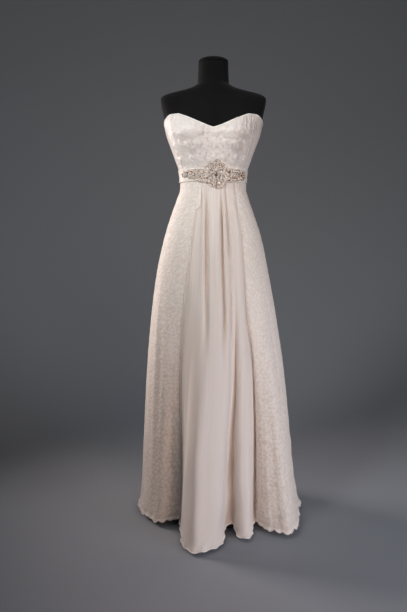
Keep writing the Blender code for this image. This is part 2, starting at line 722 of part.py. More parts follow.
def front_fold_point(fold, z):
    """The point of a front fold line at this height."""
    row = dict(zip(FRONT_FOLD_COLUMNS, fold))
    places = np.array([row[name] for name in ("waist", "hip", "thigh", "knee", "shin", "hem")])
    x = smooth_column(np.column_stack((FOLD_HEIGHTS, places)), 1, z) * CM
    depth = front_depth(x, z)
    gathered = min(max((GATHERS_START_Z - z) / (GATHERS_START_Z - GATHERS_FULL_Z), 0.0), 1.0)
    depth += row["hip_out"] * CM * gathered * ease(z, GATHERS_END_Z, GATHERS_FADE_Z)
    hem_forward = row["hem_front"] * CM - front_depth(row["hem"] * CM, HEM_LEVEL_Z)
    depth += hem_forward * fold_share(z)
    return np.array((x, -depth, z))


def side_fold_point(fold, z):
    """The point of a side or back fold line at this height."""
    row = dict(zip(SIDE_FOLD_COLUMNS, fold))
    down = (WAIST_SEAM_Z - z) / WAIST_SEAM_Z
    turn = row["waist_turn"] + (row["hem_turn"] - row["waist_turn"]) * down
    x, y = skirt_oval(turn, z)
    reach = 1.0 + (row["hem_reach"] - 1.0) * fold_share(z)
    return np.array((x * reach, y * reach, z))


def all_fold_lines():
    """Every fold line in order from centre back over the left side, front and right side."""
    lines = [(BACK_SEAM, side_fold_point)]
    lines += [(fold, side_fold_point) for fold in LEFT_FOLDS]
    lines += [(fold, front_fold_point) for fold in FRONT_FOLDS]
    lines += [(fold, side_fold_point) for fold in RIGHT_FOLDS]
    return lines


def round_curve(before, start, end, after, share):
    """A centripetal Catmull-Rom curve from start to end, which can't loop over itself."""
    points = (before, start, end, after)
    knots = [0.0]
    for a, b in zip(points, points[1:]):
        knots.append(knots[-1] + np.linalg.norm(b - a) ** 0.5)
    t = knots[1] + (knots[2] - knots[1]) * share
    sides = [mix(points[i], points[i + 1], knots[i], knots[i + 1], t) for i in range(3)]
    halves = [mix(sides[i], sides[i + 1], knots[i], knots[i + 2], t) for i in range(2)]
    return mix(halves[0], halves[1], knots[1], knots[2], t)


def skirt_surface():
    """The middle surface of the skirt's cloth as a grid, and the columns of its three seams."""
    lines = all_fold_lines()
    hems = []
    for fold, place in lines:
        hems.append(place(fold, fold[-1]))
    spans = []
    for k, hem in enumerate(hems):
        length = np.linalg.norm(hems[(k + 1) % len(hems)] - hem)
        spans.append(max(2, math.ceil(length / LONGEST_HEM_CELL)))
    columns = sum(spans)
    rows = len(SKIRT_ROWS_Z) + 1
    surface = np.empty((rows, columns, 3))
    for r in range(rows):
        points = []
        for fold, place in lines:
            z = SKIRT_ROWS_Z[r] if r < len(SKIRT_ROWS_Z) else fold[-1]
            points.append(place(fold, z))
        c = 0
        for k, count in enumerate(spans):
            near = [points[(k + step) % len(points)] for step in (-1, 0, 1, 2)]
            for part in range(count):
                surface[r, c] = round_curve(*near, part / count)
                c += 1
    starts = np.concatenate(([0], np.cumsum(spans)[:-1]))
    names = [fold[0] for fold, place in lines]
    seams = {name: int(starts[names.index(name)]) for name in ("seam_left", "seam_right")}
    return surface, seams


def surface_normals(surface):
    """Outward normals of a grid that is closed along its rows."""
    along = np.roll(surface, -1, axis=1) - np.roll(surface, 1, axis=1)
    down = np.gradient(surface, axis=0)
    normals = np.cross(down, along)
    return normals / np.linalg.norm(normals, axis=2, keepdims=True)


def take_columns(grid, first, last):
    """Columns first to last of a closed grid, going round past its end where needed."""
    picks = [c % grid.shape[1] for c in range(first, last + 1)]
    return grid[:, picks].copy()


def skirt_panel(name, outer, inner, first, last, gaps, material):
    """One panel of the skirt between two of its columns."""
    walls = []
    for grid in (outer, inner):
        part = take_columns(grid, first, last)
        set_back(part, 0, 1, gaps[0])
        set_back(part, -1, -2, gaps[1])
        walls.append(part)
    return grid_wall(name, walls[0], walls[1], material)


def facet_point(grid, row, column, down, along):
    """A point of the facets of a grid at a share down and along one of its cells."""
    count = grid.shape[1]
    a, b = grid[row, column % count], grid[row, (column + 1) % count]
    c, d = grid[row + 1, (column + 1) % count], grid[row + 1, column % count]
    if along > down:
        return a + along * (b - a) + down * (c - b)
    return a + down * (d - a) + along * (c - d)


def scallop(distance, pitch):
    """The height from 0 to 1 of a row of rounded scallops."""
    return abs(math.sin(math.pi * distance / pitch)) ** SCALLOP_POWER


def lace_edge(name, outer, normals, seam, side, material):
    """A scalloped strip that lies on the chiffon along one seam; side is 1 toward +X."""
    column = seam if side > 0 else seam - 1
    lines = {"outer": [], "inner": []}
    travelled = 0.0
    for r in range(outer.shape[0] - 1):
        step_length = np.linalg.norm(outer[r + 1, seam] - outer[r, seam])
        steps = max(1, round(step_length / (EDGE_SCALLOP / EDGE_STEPS)))
        last = 1 if r == outer.shape[0] - 2 else 0
        for step in range(steps + last):
            down = step / steps
            if facet_point(outer, r, column, down, 0.5)[2] > LACE_EDGE_TOP_Z:
                continue
            here = travelled + step_length * down
            wide = EDGE_WIDTH - EDGE_DEPTH * (1.0 - scallop(here, EDGE_SCALLOP))
            cell = np.linalg.norm(facet_point(outer, r, column, down, 1.0)
                                  - facet_point(outer, r, column, down, 0.0))
            reach = min(wide / cell, 1.0 - EDGE_CELL_MARGIN)
            low, high = EDGE_CELL_MARGIN, reach
            if side < 0:
                low, high = 1.0 - reach, 1.0 - EDGE_CELL_MARGIN
            middle = min(max(down, low + EDGE_MIDDLE_MARGIN), high - EDGE_MIDDLE_MARGIN)
            shares = (low, middle, high)
            for key, lift in (("outer", LIE_GAP + TRIM_WALL), ("inner", LIE_GAP)):
                line = [facet_point(outer, r, column, down, share)
                        + facet_point(normals, r, column, down, share) * lift
                        for share in shares]
                lines[key].append(line)
        travelled += step_length
    return grid_wall(name, np.array(lines["outer"]), np.array(lines["inner"]), material)


def hem_border(name, outer, inner, first, last, gaps, material):
    """A scalloped border that carries one lace panel down to the floor."""
    grids = []
    for grid in (outer, inner):
        part = take_columns(grid, first, last)
        set_back(part, 0, 1, gaps[0])
        set_back(part, -1, -2, gaps[1])
        grids.append(part[-2:])
    rows = {0: [], 1: []}
    travelled = 0.0
    for c in range(last - first):
        length = np.linalg.norm(grids[0][1, c + 1] - grids[0][1, c])
        steps = max(1, round(length / (HEM_SCALLOP / HEM_STEPS)))
        end = 1 if c == last - first - 1 else 0
        for step in range(steps + end):
            along = step / steps
            rise = HEM_SCALLOP_DEPTH * (1.0 - scallop(travelled + length * along, HEM_SCALLOP))
            for key, grid in enumerate(grids):
                top = grid[1, c] + along * (grid[1, c + 1] - grid[1, c])
                above = grid[0, c] + along * (grid[0, c + 1] - grid[0, c])
                fall = (top - above) / np.linalg.norm(top - above)
                drop = fall * (HEM_BORDER - SEAM_GAP - rise)
                rows[key].append((top + fall * SEAM_GAP, top + fall * SEAM_GAP + drop))
        travelled += length
    walls = [np.array(rows[key]).transpose(1, 0, 2) for key in (0, 1)]
    return grid_wall(name, walls[0], walls[1], material)


def raise_lace_hem(surface, seams):
    """Lift the lace panels' hem by the height of their scalloped borders."""
    columns = surface.shape[1]
    for c in range(columns):
        if seams["seam_left"] < c < seams["seam_right"]:
            continue
        surface[-1, c, 2] += HEM_BORDER - SEAM_GAP


def build_skirt(chiffon, lace, trim):
    surface, seams = skirt_surface()
    normals = surface_normals(surface)
    raised = surface.copy()
    raise_lace_hem(raised, seams)
    left, right, end = seams["seam_left"], seams["seam_right"], surface.shape[1]
    walls = {}
    for name, grid in (("chiffon", surface), ("lace", raised)):
        walls[name] = (grid + normals * SKIRT_WALL / 2, grid - normals * SKIRT_WALL / 2)
    skirt_panel("chiffon_front_panel", *walls["chiffon"], left, right, (seam_gap, seam_gap),
                chiffon)
    skirt_panel("lace_panel_left", *walls["lace"], 0, left, (back_gap, seam_gap), lace)
    skirt_panel("lace_panel_right", *walls["lace"], right, end, (seam_gap, back_gap), lace)
    lace_edge("lace_edge_left", walls["chiffon"][0], normals, left, 1, trim)
    lace_edge("lace_edge_right", walls["chiffon"][0], normals, right, -1, trim)
    hem_border("lace_hem_left", *walls["lace"], 0, left, (back_gap, seam_gap), trim)
    hem_border("lace_hem_right", *walls["lace"], right, end, (seam_gap, back_gap), trim)


# --- Zip -----------------------------------------------------------------------------------


def back_seam_y(z):
    """The outer face of the cloth at centre back."""
    if z > WAIST_SEAM_Z:
        return bodice_point(180.0, z, BODICE_WALL)[1]
    return side_fold_point(BACK_SEAM, z)[1] + SKIRT_WALL / 2


def extrude_outline(name, outline, holes, low_x, high_x, material):
    """A flat solid between two planes of x, from an outline and its holes in (y, z)."""
    bm = bmesh.new()
    edges = []
    for loop in [outline] + holes:
        verts = [bm.verts.new((low_x, y, z)) for y, z in loop]
        edges += [bm.edges.new(pair) for pair in zip(verts, verts[1:] + verts[:1])]
    bmesh.ops.triangle_fill(bm, use_beauty=True, edges=edges)
    grown = bmesh.ops.extrude_face_region(bm, geom=bm.faces[:])
    moved = [item for item in grown["geom"] if isinstance(item, bmesh.types.BMVert)]
    bmesh.ops.translate(bm, verts=moved, vec=(high_x - low_x, 0.0, 0.0))
    return link_mesh(name, bm, material, smooth=False)


def arc(centre, radius, start, end, steps):
    """Points of an arc in a plane, from one angle to another in degrees."""
    angles = [math.radians(start + (end - start) * k / steps) for k in range(steps + 1)]
    return [(centre[0] + radius * math.cos(t), centre[1] + radius * math.sin(t)) for t in angles]


def build_zip(tape, metal):
    """The closed coil in the back seam, its slider and the hinged pull."""
    half = ZIP_COIL_WIDTH / 2
    rings = []
    for z in np.linspace(top_edge(180.0) - ZIP_COIL_END_INSET, ZIP_END_Z + ZIP_COIL_END_INSET,
                         ZIP_COIL_RINGS):
        y = back_seam_y(z)
        rings.append([(-half, y - ZIP_COIL_WALL, z), (half, y - ZIP_COIL_WALL, z),
                      (half, y, z), (-half, y, z)])
    loft("zip_coil", rings, tape)

    back = max(back_seam_y(SLIDER_Z - SLIDER_HEIGHT / 2),
               back_seam_y(SLIDER_Z + SLIDER_HEIGHT / 2)) + SEAM_GAP
    face = back + SLIDER_WALL
    low, high = SLIDER_Z - SLIDER_HEIGHT / 2, SLIDER_Z + SLIDER_HEIGHT / 2
    axis = (face + SEAM_GAP + EYE_RADIUS, SLIDER_Z + HINGE_ABOVE_MIDDLE)
    body = [(back, low), (face, low), (face, high), (back, high)]
    slider = extrude_outline("zip_slider", body, [], -SLIDER_WIDTH / 2, SLIDER_WIDTH / 2, metal)
    ear = [(back + EAR_OVERLAP, axis[1] - EAR_HALF)]
    ear += arc(axis, EAR_HALF, -90.0, 90.0, 6)
    ear += [(back + EAR_OVERLAP, axis[1] + EAR_HALF)]
    extras = []
    for number, side in enumerate((-1, 1)):
        inside = side * (PULL_WIDTH / 2 + SEAM_GAP)
        outside = side * SLIDER_WIDTH / 2
        extras.append(extrude_outline("ear_%d" % number, ear, [], min(inside, outside),
                                      max(inside, outside), metal))
    pin = arc(axis, PIN_RADIUS, 0.0, 315.0, 7)
    reach = SLIDER_WIDTH / 2 - EAR_OVERLAP
    extras.append(extrude_outline("pin", pin, [], -reach, reach, metal))
    for extra in extras:
        join_solid(slider, extra)

    eye = arc(axis, EYE_RADIUS, -60.0, 240.0, 12)
    tail_low = axis[1] - PULL_LENGTH
    tail = [(axis[0] - PULL_WALL / 2, tail_low), (axis[0] + PULL_WALL / 2, tail_low)]
    hole = arc(axis, PIN_RADIUS + PIN_PLAY, 0.0, 315.0, 7)
    pull = extrude_outline("zip_pull", eye + tail, [hole], -PULL_WIDTH / 2, PULL_WIDTH / 2, metal)
    origin = (0.0, *axis)
    for vert in pull.data.vertices:
        vert.co = [vert.co[k] - origin[k] for k in range(3)]
    pull.location = origin


def join_solid(target, extra):
    """Join one closed solid to another with an exact Boolean, and keep the result as the mesh."""
    union = target.modifiers.new("join " + extra.name, "BOOLEAN")
    union.operation = "UNION"
    union.solver = "EXACT"
    union.object = extra
    extra.hide_render = True
    extra.display_type = "WIRE"


def main():
    clear_scene()
    satin = make_material("ivory satin", (0.83, 0.77, 0.70), 0.38)
    chiffon = make_material("ivory chiffon", (0.80, 0.72, 0.65), 0.70)
    lace = make_material("corded lace", (0.80, 0.73, 0.66), 0.75)
    trim = make_material("lace scallops", (0.84, 0.78, 0.71), 0.75)
    braid = make_material("satin piping", (0.80, 0.70, 0.58), 0.40)
    beaded = make_material("bead ground", (0.55, 0.44, 0.33), 0.35, 0.6)
    crystal = make_material("crystal stone", (0.75, 0.75, 0.76), 0.05, 0.3)
    pearl = make_material("pearl", (0.86, 0.83, 0.78), 0.20)
    jersey = make_material("black jersey", (0.010, 0.010, 0.011), 0.85)
    wood = make_material("black turned wood", (0.015, 0.014, 0.013), 0.45)
    metal = make_material("black steel", (0.03, 0.03, 0.03), 0.40, 1.0)
    zip_metal = make_material("ivory zip metal", (0.72, 0.68, 0.60), 0.35, 0.4)
    build_dress_form(jersey, wood, metal)
    build_bodice(satin)
    build_belt(satin, braid)
    build_plaque(beaded, crystal, pearl)
    build_skirt(chiffon, lace, trim)
    build_zip(satin, zip_metal)


main()
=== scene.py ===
# %% [markdown]
# # A strapless wedding dress on a limbless dress form
# The real dress is a boned satin bodice with a sweetheart top edge, a satin belt with a beaded
# applique, and a long skirt: soft chiffon gathered in front, between side panels of corded lace.
# The solids that carry it are packed already. This script loads them, hangs finer cloth on their
# form, sews on the small things and gives every surface its finish. It works in metres, +Z is up
# and the front faces -Y.

# %% Load the packed solids
import math

import bpy
import numpy as np
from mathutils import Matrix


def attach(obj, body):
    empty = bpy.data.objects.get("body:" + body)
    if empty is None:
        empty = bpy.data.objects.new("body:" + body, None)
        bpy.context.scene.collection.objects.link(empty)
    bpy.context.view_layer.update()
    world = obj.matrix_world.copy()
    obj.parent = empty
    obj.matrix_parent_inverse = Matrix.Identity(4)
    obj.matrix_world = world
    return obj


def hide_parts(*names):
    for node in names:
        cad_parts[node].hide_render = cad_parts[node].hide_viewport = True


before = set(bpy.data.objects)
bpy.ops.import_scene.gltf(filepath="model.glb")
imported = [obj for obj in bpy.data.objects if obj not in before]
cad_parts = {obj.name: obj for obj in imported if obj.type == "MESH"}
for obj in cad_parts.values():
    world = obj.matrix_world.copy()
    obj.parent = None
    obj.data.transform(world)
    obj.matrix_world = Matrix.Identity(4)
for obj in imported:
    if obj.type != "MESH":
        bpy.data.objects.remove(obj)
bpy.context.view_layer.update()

MM = 0.001
CM = 0.01
DRESS = "dress_on_form"

# %% [markdown]
# Every shape below starts with an operator of Blender's Add menu. It works on what is selected, so
# everything is deselected first, and the new piece keeps its place in its own mesh. Three more
# steps come back all the time: select one piece, shade it smooth, and apply a modifier. Numbers
# that belong together stand in small tables of text, which one function turns into columns.

# %% Helpers for pieces and tables
SMOOTH_DEGREES = 40.0


def add_piece(operator, name, **settings):
    """Add a primitive, a camera or a lamp with everything deselected, and name it."""
    bpy.ops.object.select_all(action="DESELECT")
    operator(**settings)
    piece = bpy.context.object
    piece.name = name
    if piece.type == "MESH":
        bpy.ops.object.transform_apply(location=True, rotation=True, scale=True)
    return piece


def select_only(piece):
    """Select one piece and make it the active one."""
    bpy.ops.object.select_all(action="DESELECT")
    piece.select_set(True)
    bpy.context.view_layer.objects.active = piece


def give_finish(piece, finish, degrees=SMOOTH_DEGREES):
    """Give a piece its material, smooth but for edges that turn by more than this."""
    piece.data.materials.append(finish)
    select_only(piece)
    bpy.ops.object.shade_smooth_by_angle(angle=math.radians(degrees))
    return piece


def apply_modifier(piece, kind, **settings):
    """Add a modifier to the active piece, set it and apply it."""
    bpy.ops.object.modifier_add(type=kind)
    modifier = piece.modifiers[-1]
    for key, value in settings.items():
        setattr(modifier, key, value)
    bpy.ops.object.modifier_apply(modifier=modifier.name)


def read_table(text):
    """The columns of a table by the names in its first line: arrays of numbers, or words."""
    names, *rows = (line.split() for line in text.strip().splitlines())
    columns = {name: tuple(cells) for name, cells in zip(names, zip(*rows))}
    return {name: cells if cells[0][0].isalpha() else np.array(cells, float)
            for name, cells in columns.items()}


def rows_of(table):
    """The rows of a table as dictionaries, so that a value is read by its column's name."""
    return [dict(zip(table, row)) for row in zip(*table.values())]


print("smooth below", SMOOTH_DEGREES, "degrees; a table:", read_table("a b\n 1 2"))

# %% [markdown]
# A camera comes before the model, because how large a stitch or a bead shows decides how much of
# it is worth making. This one stands in front of the dress at the height of the hips, and looks
# slightly down. It could be aimed with a constraint, but a plain place and tilt are easier to read.

# %% Camera
CAMERA_PLACE = (-0.0357, -2.35, 1.10)
CAMERA_DOWN_DEGREES = 6.81
CAMERA_LENS = 36.74
CAMERA_SENSOR = 36.0
camera = add_piece(bpy.ops.object.camera_add, "camera", location=CAMERA_PLACE,
                   rotation=(math.radians(90.0 - CAMERA_DOWN_DEGREES), 0.0, 0.0))
camera.data.lens = CAMERA_LENS
camera.data.sensor_width = CAMERA_SENSOR
bpy.context.scene.camera = camera
bpy.context.scene.view_settings.view_transform = "Standard"
print("camera", CAMERA_PLACE)

# %% [markdown]
# Every finish is a Principled shader with a few texture nodes. A person would drag the nodes
# together in the editor; here one small function adds a node with its settings and its links.
# Colours are read off as they look on a screen, so they are turned from sRGB to linear once. All
# finishes end alike: two shades mixed by a pattern, a range of roughness and a relief.

# %% Helpers for finishes
PERIOD_TO_WAVE_SCALE = 0.314


def linear(hex_colour):
    """The linear colour of an sRGB hex value such as EDE3DA."""
    parts = [int(hex_colour[k:k + 2], 16) / 255.0 for k in (0, 2, 4)]
    bent = [p / 12.92 if p <= 0.04045 else ((p + 0.055) / 1.055) ** 2.4 for p in parts]
    return (*bent, 1.0)


def add_node(material, kind, inputs, output=0, **settings):
    """Add a shader node, set it, fill or link its inputs, and give one of its outputs."""
    node = material.node_tree.nodes.new("ShaderNode" + kind)
    for name, value in settings.items():
        setattr(node, name, value)
    for key, value in inputs.items():
        if isinstance(value, bpy.types.NodeSocket):
            material.node_tree.links.new(value, node.inputs[key])
        else:
            value = linear(value) if isinstance(value, str) else value
            node.inputs[key].default_value = value
    return node.outputs[output]


def new_finish(name, **sockets):
    """A new material with constant values on its shader's own sockets."""
    material = bpy.data.materials.new(name)
    material.use_nodes = True
    shader = material.node_tree.nodes["Principled BSDF"]
    for key, value in sockets.items():
        shader.inputs[key.replace("_", " ")].default_value = value
    return material


def finish_with(material, shades, gloss, relief):
    """Link a mix of two shades, a range of roughness and a relief in metres to the shader."""
    shader = material.node_tree.nodes["Principled BSDF"]
    links = {
        "Base Color": add_node(material, "Mix", dict(zip((0, 6, 7), shades)), 2,
                               data_type="RGBA"),
        "Roughness": add_node(material, "MapRange",
                              dict(zip(("Value", "To Min", "To Max"), gloss))),
        "Normal": add_node(material, "Bump", dict(zip(("Height", "Distance"), relief))),
    }
    for key, value in links.items():
        material.node_tree.links.new(value, shader.inputs[key])
    return material


def woven(material, place, pitch, share, larger):
    """The height of a plain weave with this pitch in metres, on top of a larger relief."""
    thread = {"Vector": place, "Scale": PERIOD_TO_WAVE_SCALE / pitch}
    warp = add_node(material, "TexWave", thread, bands_direction="X")
    weft = add_node(material, "TexWave", thread, bands_direction="Y")
    weave = add_node(material, "Math", {0: warp, 1: weft}, operation="ADD")
    return add_node(material, "Math", {0: weave, 1: share, 2: larger}, operation="MULTIPLY_ADD")


print("a middle grey of 808080 is", round(linear("808080")[0], 3), "in linear light")

# %% [markdown]
# Duchess satin is woven so that long warp threads float on its face. That gives the eye a pearly,
# stretched highlight and a soft mirror of the lights. Its threads are a quarter of a millimetre
# apart, too fine to show from here, so they are drawn four times as coarse and very shallow. Worn
# satin is never flat: puckers 3 cm wide and crinkles half as wide catch the light all over it.

# %% Satin
SATIN_THREAD = 1.0 * MM
SATIN_CRINKLE = 16.0 * MM
SATIN_PUCKER = 32.0 * MM
SATIN_PATCH = 50.0 * MM
SATIN_RELIEF = 4.2 * MM
SATIN_THREAD_SHARE = 0.012
SATIN_PUCKER_SHARE = 2.2
SATIN_GLOSS_SPAN = 0.08


def woven_satin(name, light, dark, roughness):
    """Ivory satin: two close shades in slow patches, crinkles and a fine thread relief."""
    material = new_finish(name, Sheen_Weight=0.25, Sheen_Roughness=0.35, Specular_IOR_Level=0.5)
    place = add_node(material, "UVMap", {})
    slow = add_node(material, "Mapping", {"Vector": place, "Scale": (1.0, 0.4, 1.0)})
    patches = add_node(material, "TexNoise", {"Vector": slow, "Scale": 1.0 / SATIN_PATCH,
                                              "Detail": 3.0})
    crinkles = add_node(material, "TexNoise", {"Vector": place, "Scale": 1.0 / SATIN_CRINKLE,
                                               "Detail": 2.0})
    puckers = add_node(material, "TexNoise", {"Vector": slow, "Scale": 1.0 / SATIN_PUCKER})
    creased = add_node(material, "Math", {0: puckers, 1: SATIN_PUCKER_SHARE, 2: crinkles},
                       operation="MULTIPLY_ADD")
    height = woven(material, place, SATIN_THREAD, SATIN_THREAD_SHARE, creased)
    gloss = (crinkles, roughness - SATIN_GLOSS_SPAN, roughness + SATIN_GLOSS_SPAN)
    return finish_with(material, (patches, light, dark), gloss, (height, SATIN_RELIEF))


satin = woven_satin("ivory duchess satin", "F8F2EE", "E8DED8", 0.36)
belt_satin = woven_satin("ivory belt satin", "F2EAE3", "E8DDD3", 0.44)
print("satins", satin.name, belt_satin.name)

# %% [markdown]
# Silk chiffon is woven loosely from hard-twisted threads, so it scatters light and shines only a
# little. Its finest pleats are under a centimetre wide, sharp below the belt and faint at the
# hem. They follow the folds, so they read a second UV map, which counts the hung cloth's columns.
# The pleats' troughs are painted a little darker. In a groove the colour is mixed toward a darker
# tan by an attribute of the mesh that says how deep a point lies. Both are painted shade.

# %% Chiffon
CREPE_THREAD = 1.4 * MM
FINE_PLEAT = 9.0 * MM
HELD_FROM = 0.12
HELD_TO = 0.60
CHIFFON_RELIEF = 1.2 * MM


def crepe_chiffon(name, light, dark, hollow):
    """Soft matt chiffon with fine pleats, with painted shade in their troughs and in the grooves."""
    material = new_finish(name, Sheen_Weight=0.35, Sheen_Roughness=0.5, Specular_IOR_Level=0.2)
    place = add_node(material, "UVMap", {})
    folds = add_node(material, "UVMap", {}, uv_map="folds")
    hanging = add_node(material, "Mapping", {"Vector": folds, "Scale": (1.0, 0.03, 1.0)})
    noise = add_node(material, "TexNoise", {"Vector": hanging, "Scale": 1.0 / FINE_PLEAT,
                                            "Detail": 3.0, "Roughness": 0.6})
    down = add_node(material, "SeparateXYZ", {0: folds}, "Y")
    held = add_node(material, "MapRange", {"Value": down, "From Min": HELD_FROM,
                                           "From Max": HELD_TO, "To Min": 0.6, "To Max": 0.12},
                    interpolation_type="SMOOTHSTEP")
    level = add_node(material, "Math", {0: noise, 1: 0.5}, operation="SUBTRACT")
    pleats = add_node(material, "Math", {0: level, 1: held, 2: 0.5}, operation="MULTIPLY_ADD")
    # The colour follows the pleats' height and is darker in their troughs: painted shade.
    shade = add_node(material, "MapRange", {"Value": pleats, "From Min": 0.38, "From Max": 0.55})
    colour = add_node(material, "Mix", {0: shade, 6: dark, 7: light}, 2, data_type="RGBA")
    # The attribute mixes the grooves toward the tan colour as painted shade.
    deep = add_node(material, "Attribute", {}, "Fac", attribute_name="hollow")
    height = woven(material, place, CREPE_THREAD, 0.015, pleats)
    return finish_with(material, (deep, colour, hollow), (pleats, 0.86, 0.70),
                       (height, CHIFFON_RELIEF))


chiffon = crepe_chiffon("ivory silk chiffon", "EFE7E1", "E2D5CB", "D2C3B8")
print("chiffon", chiffon.name)

# %% [markdown]
# Corded lace is a net with flowers outlined in a thick thread. Here it lies on a lining, so the
# net's holes show only as a slightly darker ground, and the eye sees ivory on ivory. The holes are
# about 1.5 mm and are drawn at 3 mm so that they still read. The larger flowers are real shapes
# further down. The small sprigs between them are drawn: around the centre of each random cell the
# angle bends the radius into petals, which is how a round patch becomes a flower in nodes.

# %% Corded lace
NET_HOLE = 3.0 * MM
SPRIG_CELL = 14.0 * MM
SPRIG_RADIUS = 5.6 * MM
SPRIG_PETALS = 4.0
SPRIG_CORD = 0.9 * MM
LACE_PATCH = 40.0 * MM
LACE_RELIEF = 0.3 * MM
# Painted shade toward the hem starts this far down the lace and is full at the second distance.
LOW_SHADE_FROM = 0.45
LOW_SHADE_FULL = 0.95


def lace_ground(name, hole, net, thread, hollow):
    """The net and small corded sprigs of the lace over its lining, with painted shade in the grooves
    and toward the hem.
    """
    material = new_finish(name, Sheen_Weight=0.25, Sheen_Roughness=0.5, Specular_IOR_Level=0.2)
    place = add_node(material, "UVMap", {})
    edge = add_node(material, "TexVoronoi",
                    {"Vector": place, "Scale": 1.0 / NET_HOLE, "Randomness": 0.25},
                    voronoi_dimensions="2D", feature="DISTANCE_TO_EDGE")
    mesh = add_node(material, "MapRange", {"Value": edge, "From Min": 0.06, "From Max": 0.30,
                                           "To Min": 1.0, "To Max": 0.0})
    cell = add_node(material, "TexVoronoi",
                    {"Vector": place, "Scale": 1.0 / SPRIG_CELL, "Randomness": 0.8}, "Position",
                    voronoi_dimensions="2D")
    chance = add_node(material, "SeparateColor", {0: cell.node.outputs["Color"]})
    away = add_node(material, "VectorMath", {0: place, 1: cell}, operation="SUBTRACT")
    radius = add_node(material, "VectorMath", {0: away}, "Value", operation="LENGTH")
    side = add_node(material, "SeparateXYZ", {0: away})
    turn = add_node(material, "Math", {0: side.node.outputs["Y"], 1: side}, operation="ARCTAN2")
    start = add_node(material, "Math", {0: chance, 1: 2 * math.pi}, operation="MULTIPLY")
    spin = add_node(material, "Math", {0: turn, 1: SPRIG_PETALS, 2: start},
                    operation="MULTIPLY_ADD")
    petals = add_node(material, "Math", {0: spin}, operation="COSINE")
    reach = add_node(material, "Math", {0: petals, 1: 0.3 * SPRIG_RADIUS, 2: 0.7 * SPRIG_RADIUS},
                     operation="MULTIPLY_ADD")
    inside = add_node(material, "Math", {0: reach, 1: radius}, operation="SUBTRACT")
    sprig = add_node(material, "MapRange",
                     {"Value": inside, "From Min": -0.3 * MM, "From Max": 1.0 * MM},
                     interpolation_type="SMOOTHSTEP")
    near = add_node(material, "Math", {0: inside}, operation="ABSOLUTE")
    cord = add_node(material, "MapRange",
                    {"Value": near, "From Max": SPRIG_CORD, "To Min": 1.0, "To Max": 0.0},
                    interpolation_type="SMOOTHSTEP")
    raised = add_node(material, "Math", {0: cord, 1: 0.8, 2: sprig}, operation="MULTIPLY_ADD")
    patches = add_node(material, "TexNoise", {"Vector": place, "Scale": 1.0 / LACE_PATCH,
                                              "Detail": 4.0})
    covered = add_node(material, "Math", {0: raised, 1: 0.55, 2: patches},
                       operation="MULTIPLY_ADD", use_clamp=True)
    netted = add_node(material, "Mix", {0: mesh, 6: hole, 7: net}, 2, data_type="RGBA")
    colour = add_node(material, "Mix", {0: covered, 6: netted, 7: thread}, 2, data_type="RGBA")
    # Further down, the colour is mixed more toward the shaded colour: painted shade for light that
    # fades toward the floor.
    down = add_node(material, "SeparateXYZ", {0: place}, "Y")
    loose = add_node(material, "MapRange", {"Value": down, "From Min": LOW_SHADE_FROM,
                                            "From Max": LOW_SHADE_FULL, "To Max": 0.24},
                     interpolation_type="SMOOTHSTEP")
    # The same attribute paints shade into the lace's grooves.
    deep = add_node(material, "Attribute", {}, "Fac", attribute_name="hollow")
    lace_shade_share = add_node(material, "Math", {0: deep, 1: loose}, operation="ADD", use_clamp=True)
    height = add_node(material, "Math", {0: mesh, 1: 0.2, 2: raised}, operation="MULTIPLY_ADD")
    return finish_with(material, (lace_shade_share, colour, hollow), (raised, 0.88, 0.72),
                       (height, LACE_RELIEF))


lace = lace_ground("corded lace over ivory lining", "D6C5B8", "EBE0D6", "FBF5EF", "CBB29F")
lace_trim = lace_ground("scalloped lace border", "E6DACF", "F2E8E0", "FCF6F0", "D8C6B8")
print("lace finishes", lace.name, lace_trim.name)

# %% [markdown]
# Threads, beads and coated metal look different, but their finishes are built alike. One noise
# tints the colour from place to place, and a second, finer or equal, breaks up gloss and relief.
# Viscose floss and narrow satin rolled into a cord have a silky sheen. Glass has a clear coat over
# a tinted lining. Pole and base are powder-coated steel, and the collar is lacquered beech.

# %% Threads, glass and coats
SILKY = {"Sheen_Weight": 0.3, "Sheen_Roughness": 0.4, "Specular_IOR_Level": 0.35}
GLASSY = {"Coat_Weight": 0.6, "Coat_Roughness": 0.08}
GLASS_GRAINS = (4.0, 1.2)


def grained(name, light, dark, grains, gloss, depth, detail=2.0, stretch=(1.0, 1.0, 1.0),
            **sockets):
    """A finish with a tinting grain and a grain of gloss and relief, all sizes in mm."""
    material = new_finish(name, **sockets)
    place = add_node(material, "TexCoord", {}, "Object")
    along = add_node(material, "Mapping", {"Vector": place, "Scale": stretch})
    tint, flaw = (add_node(material, "TexNoise", {"Vector": along, "Detail": detail,
                                                  "Scale": 1.0 / (grain * MM)})
                  for grain in grains)
    return finish_with(material, (tint, light, dark), (flaw, *gloss), (flaw, depth * MM))


lace_cord = grained("ivory viscose lace cord", "F8F1EA", "EADFD5", (2.5, 2.5), (0.5, 0.7), 0.3,
                    **SILKY)
silver_thread = grained("silver-grey embroidery floss", "ECE5DF", "C6BCB4", (3.0, 3.0),
                        (0.5, 0.7), 0.3, **SILKY)
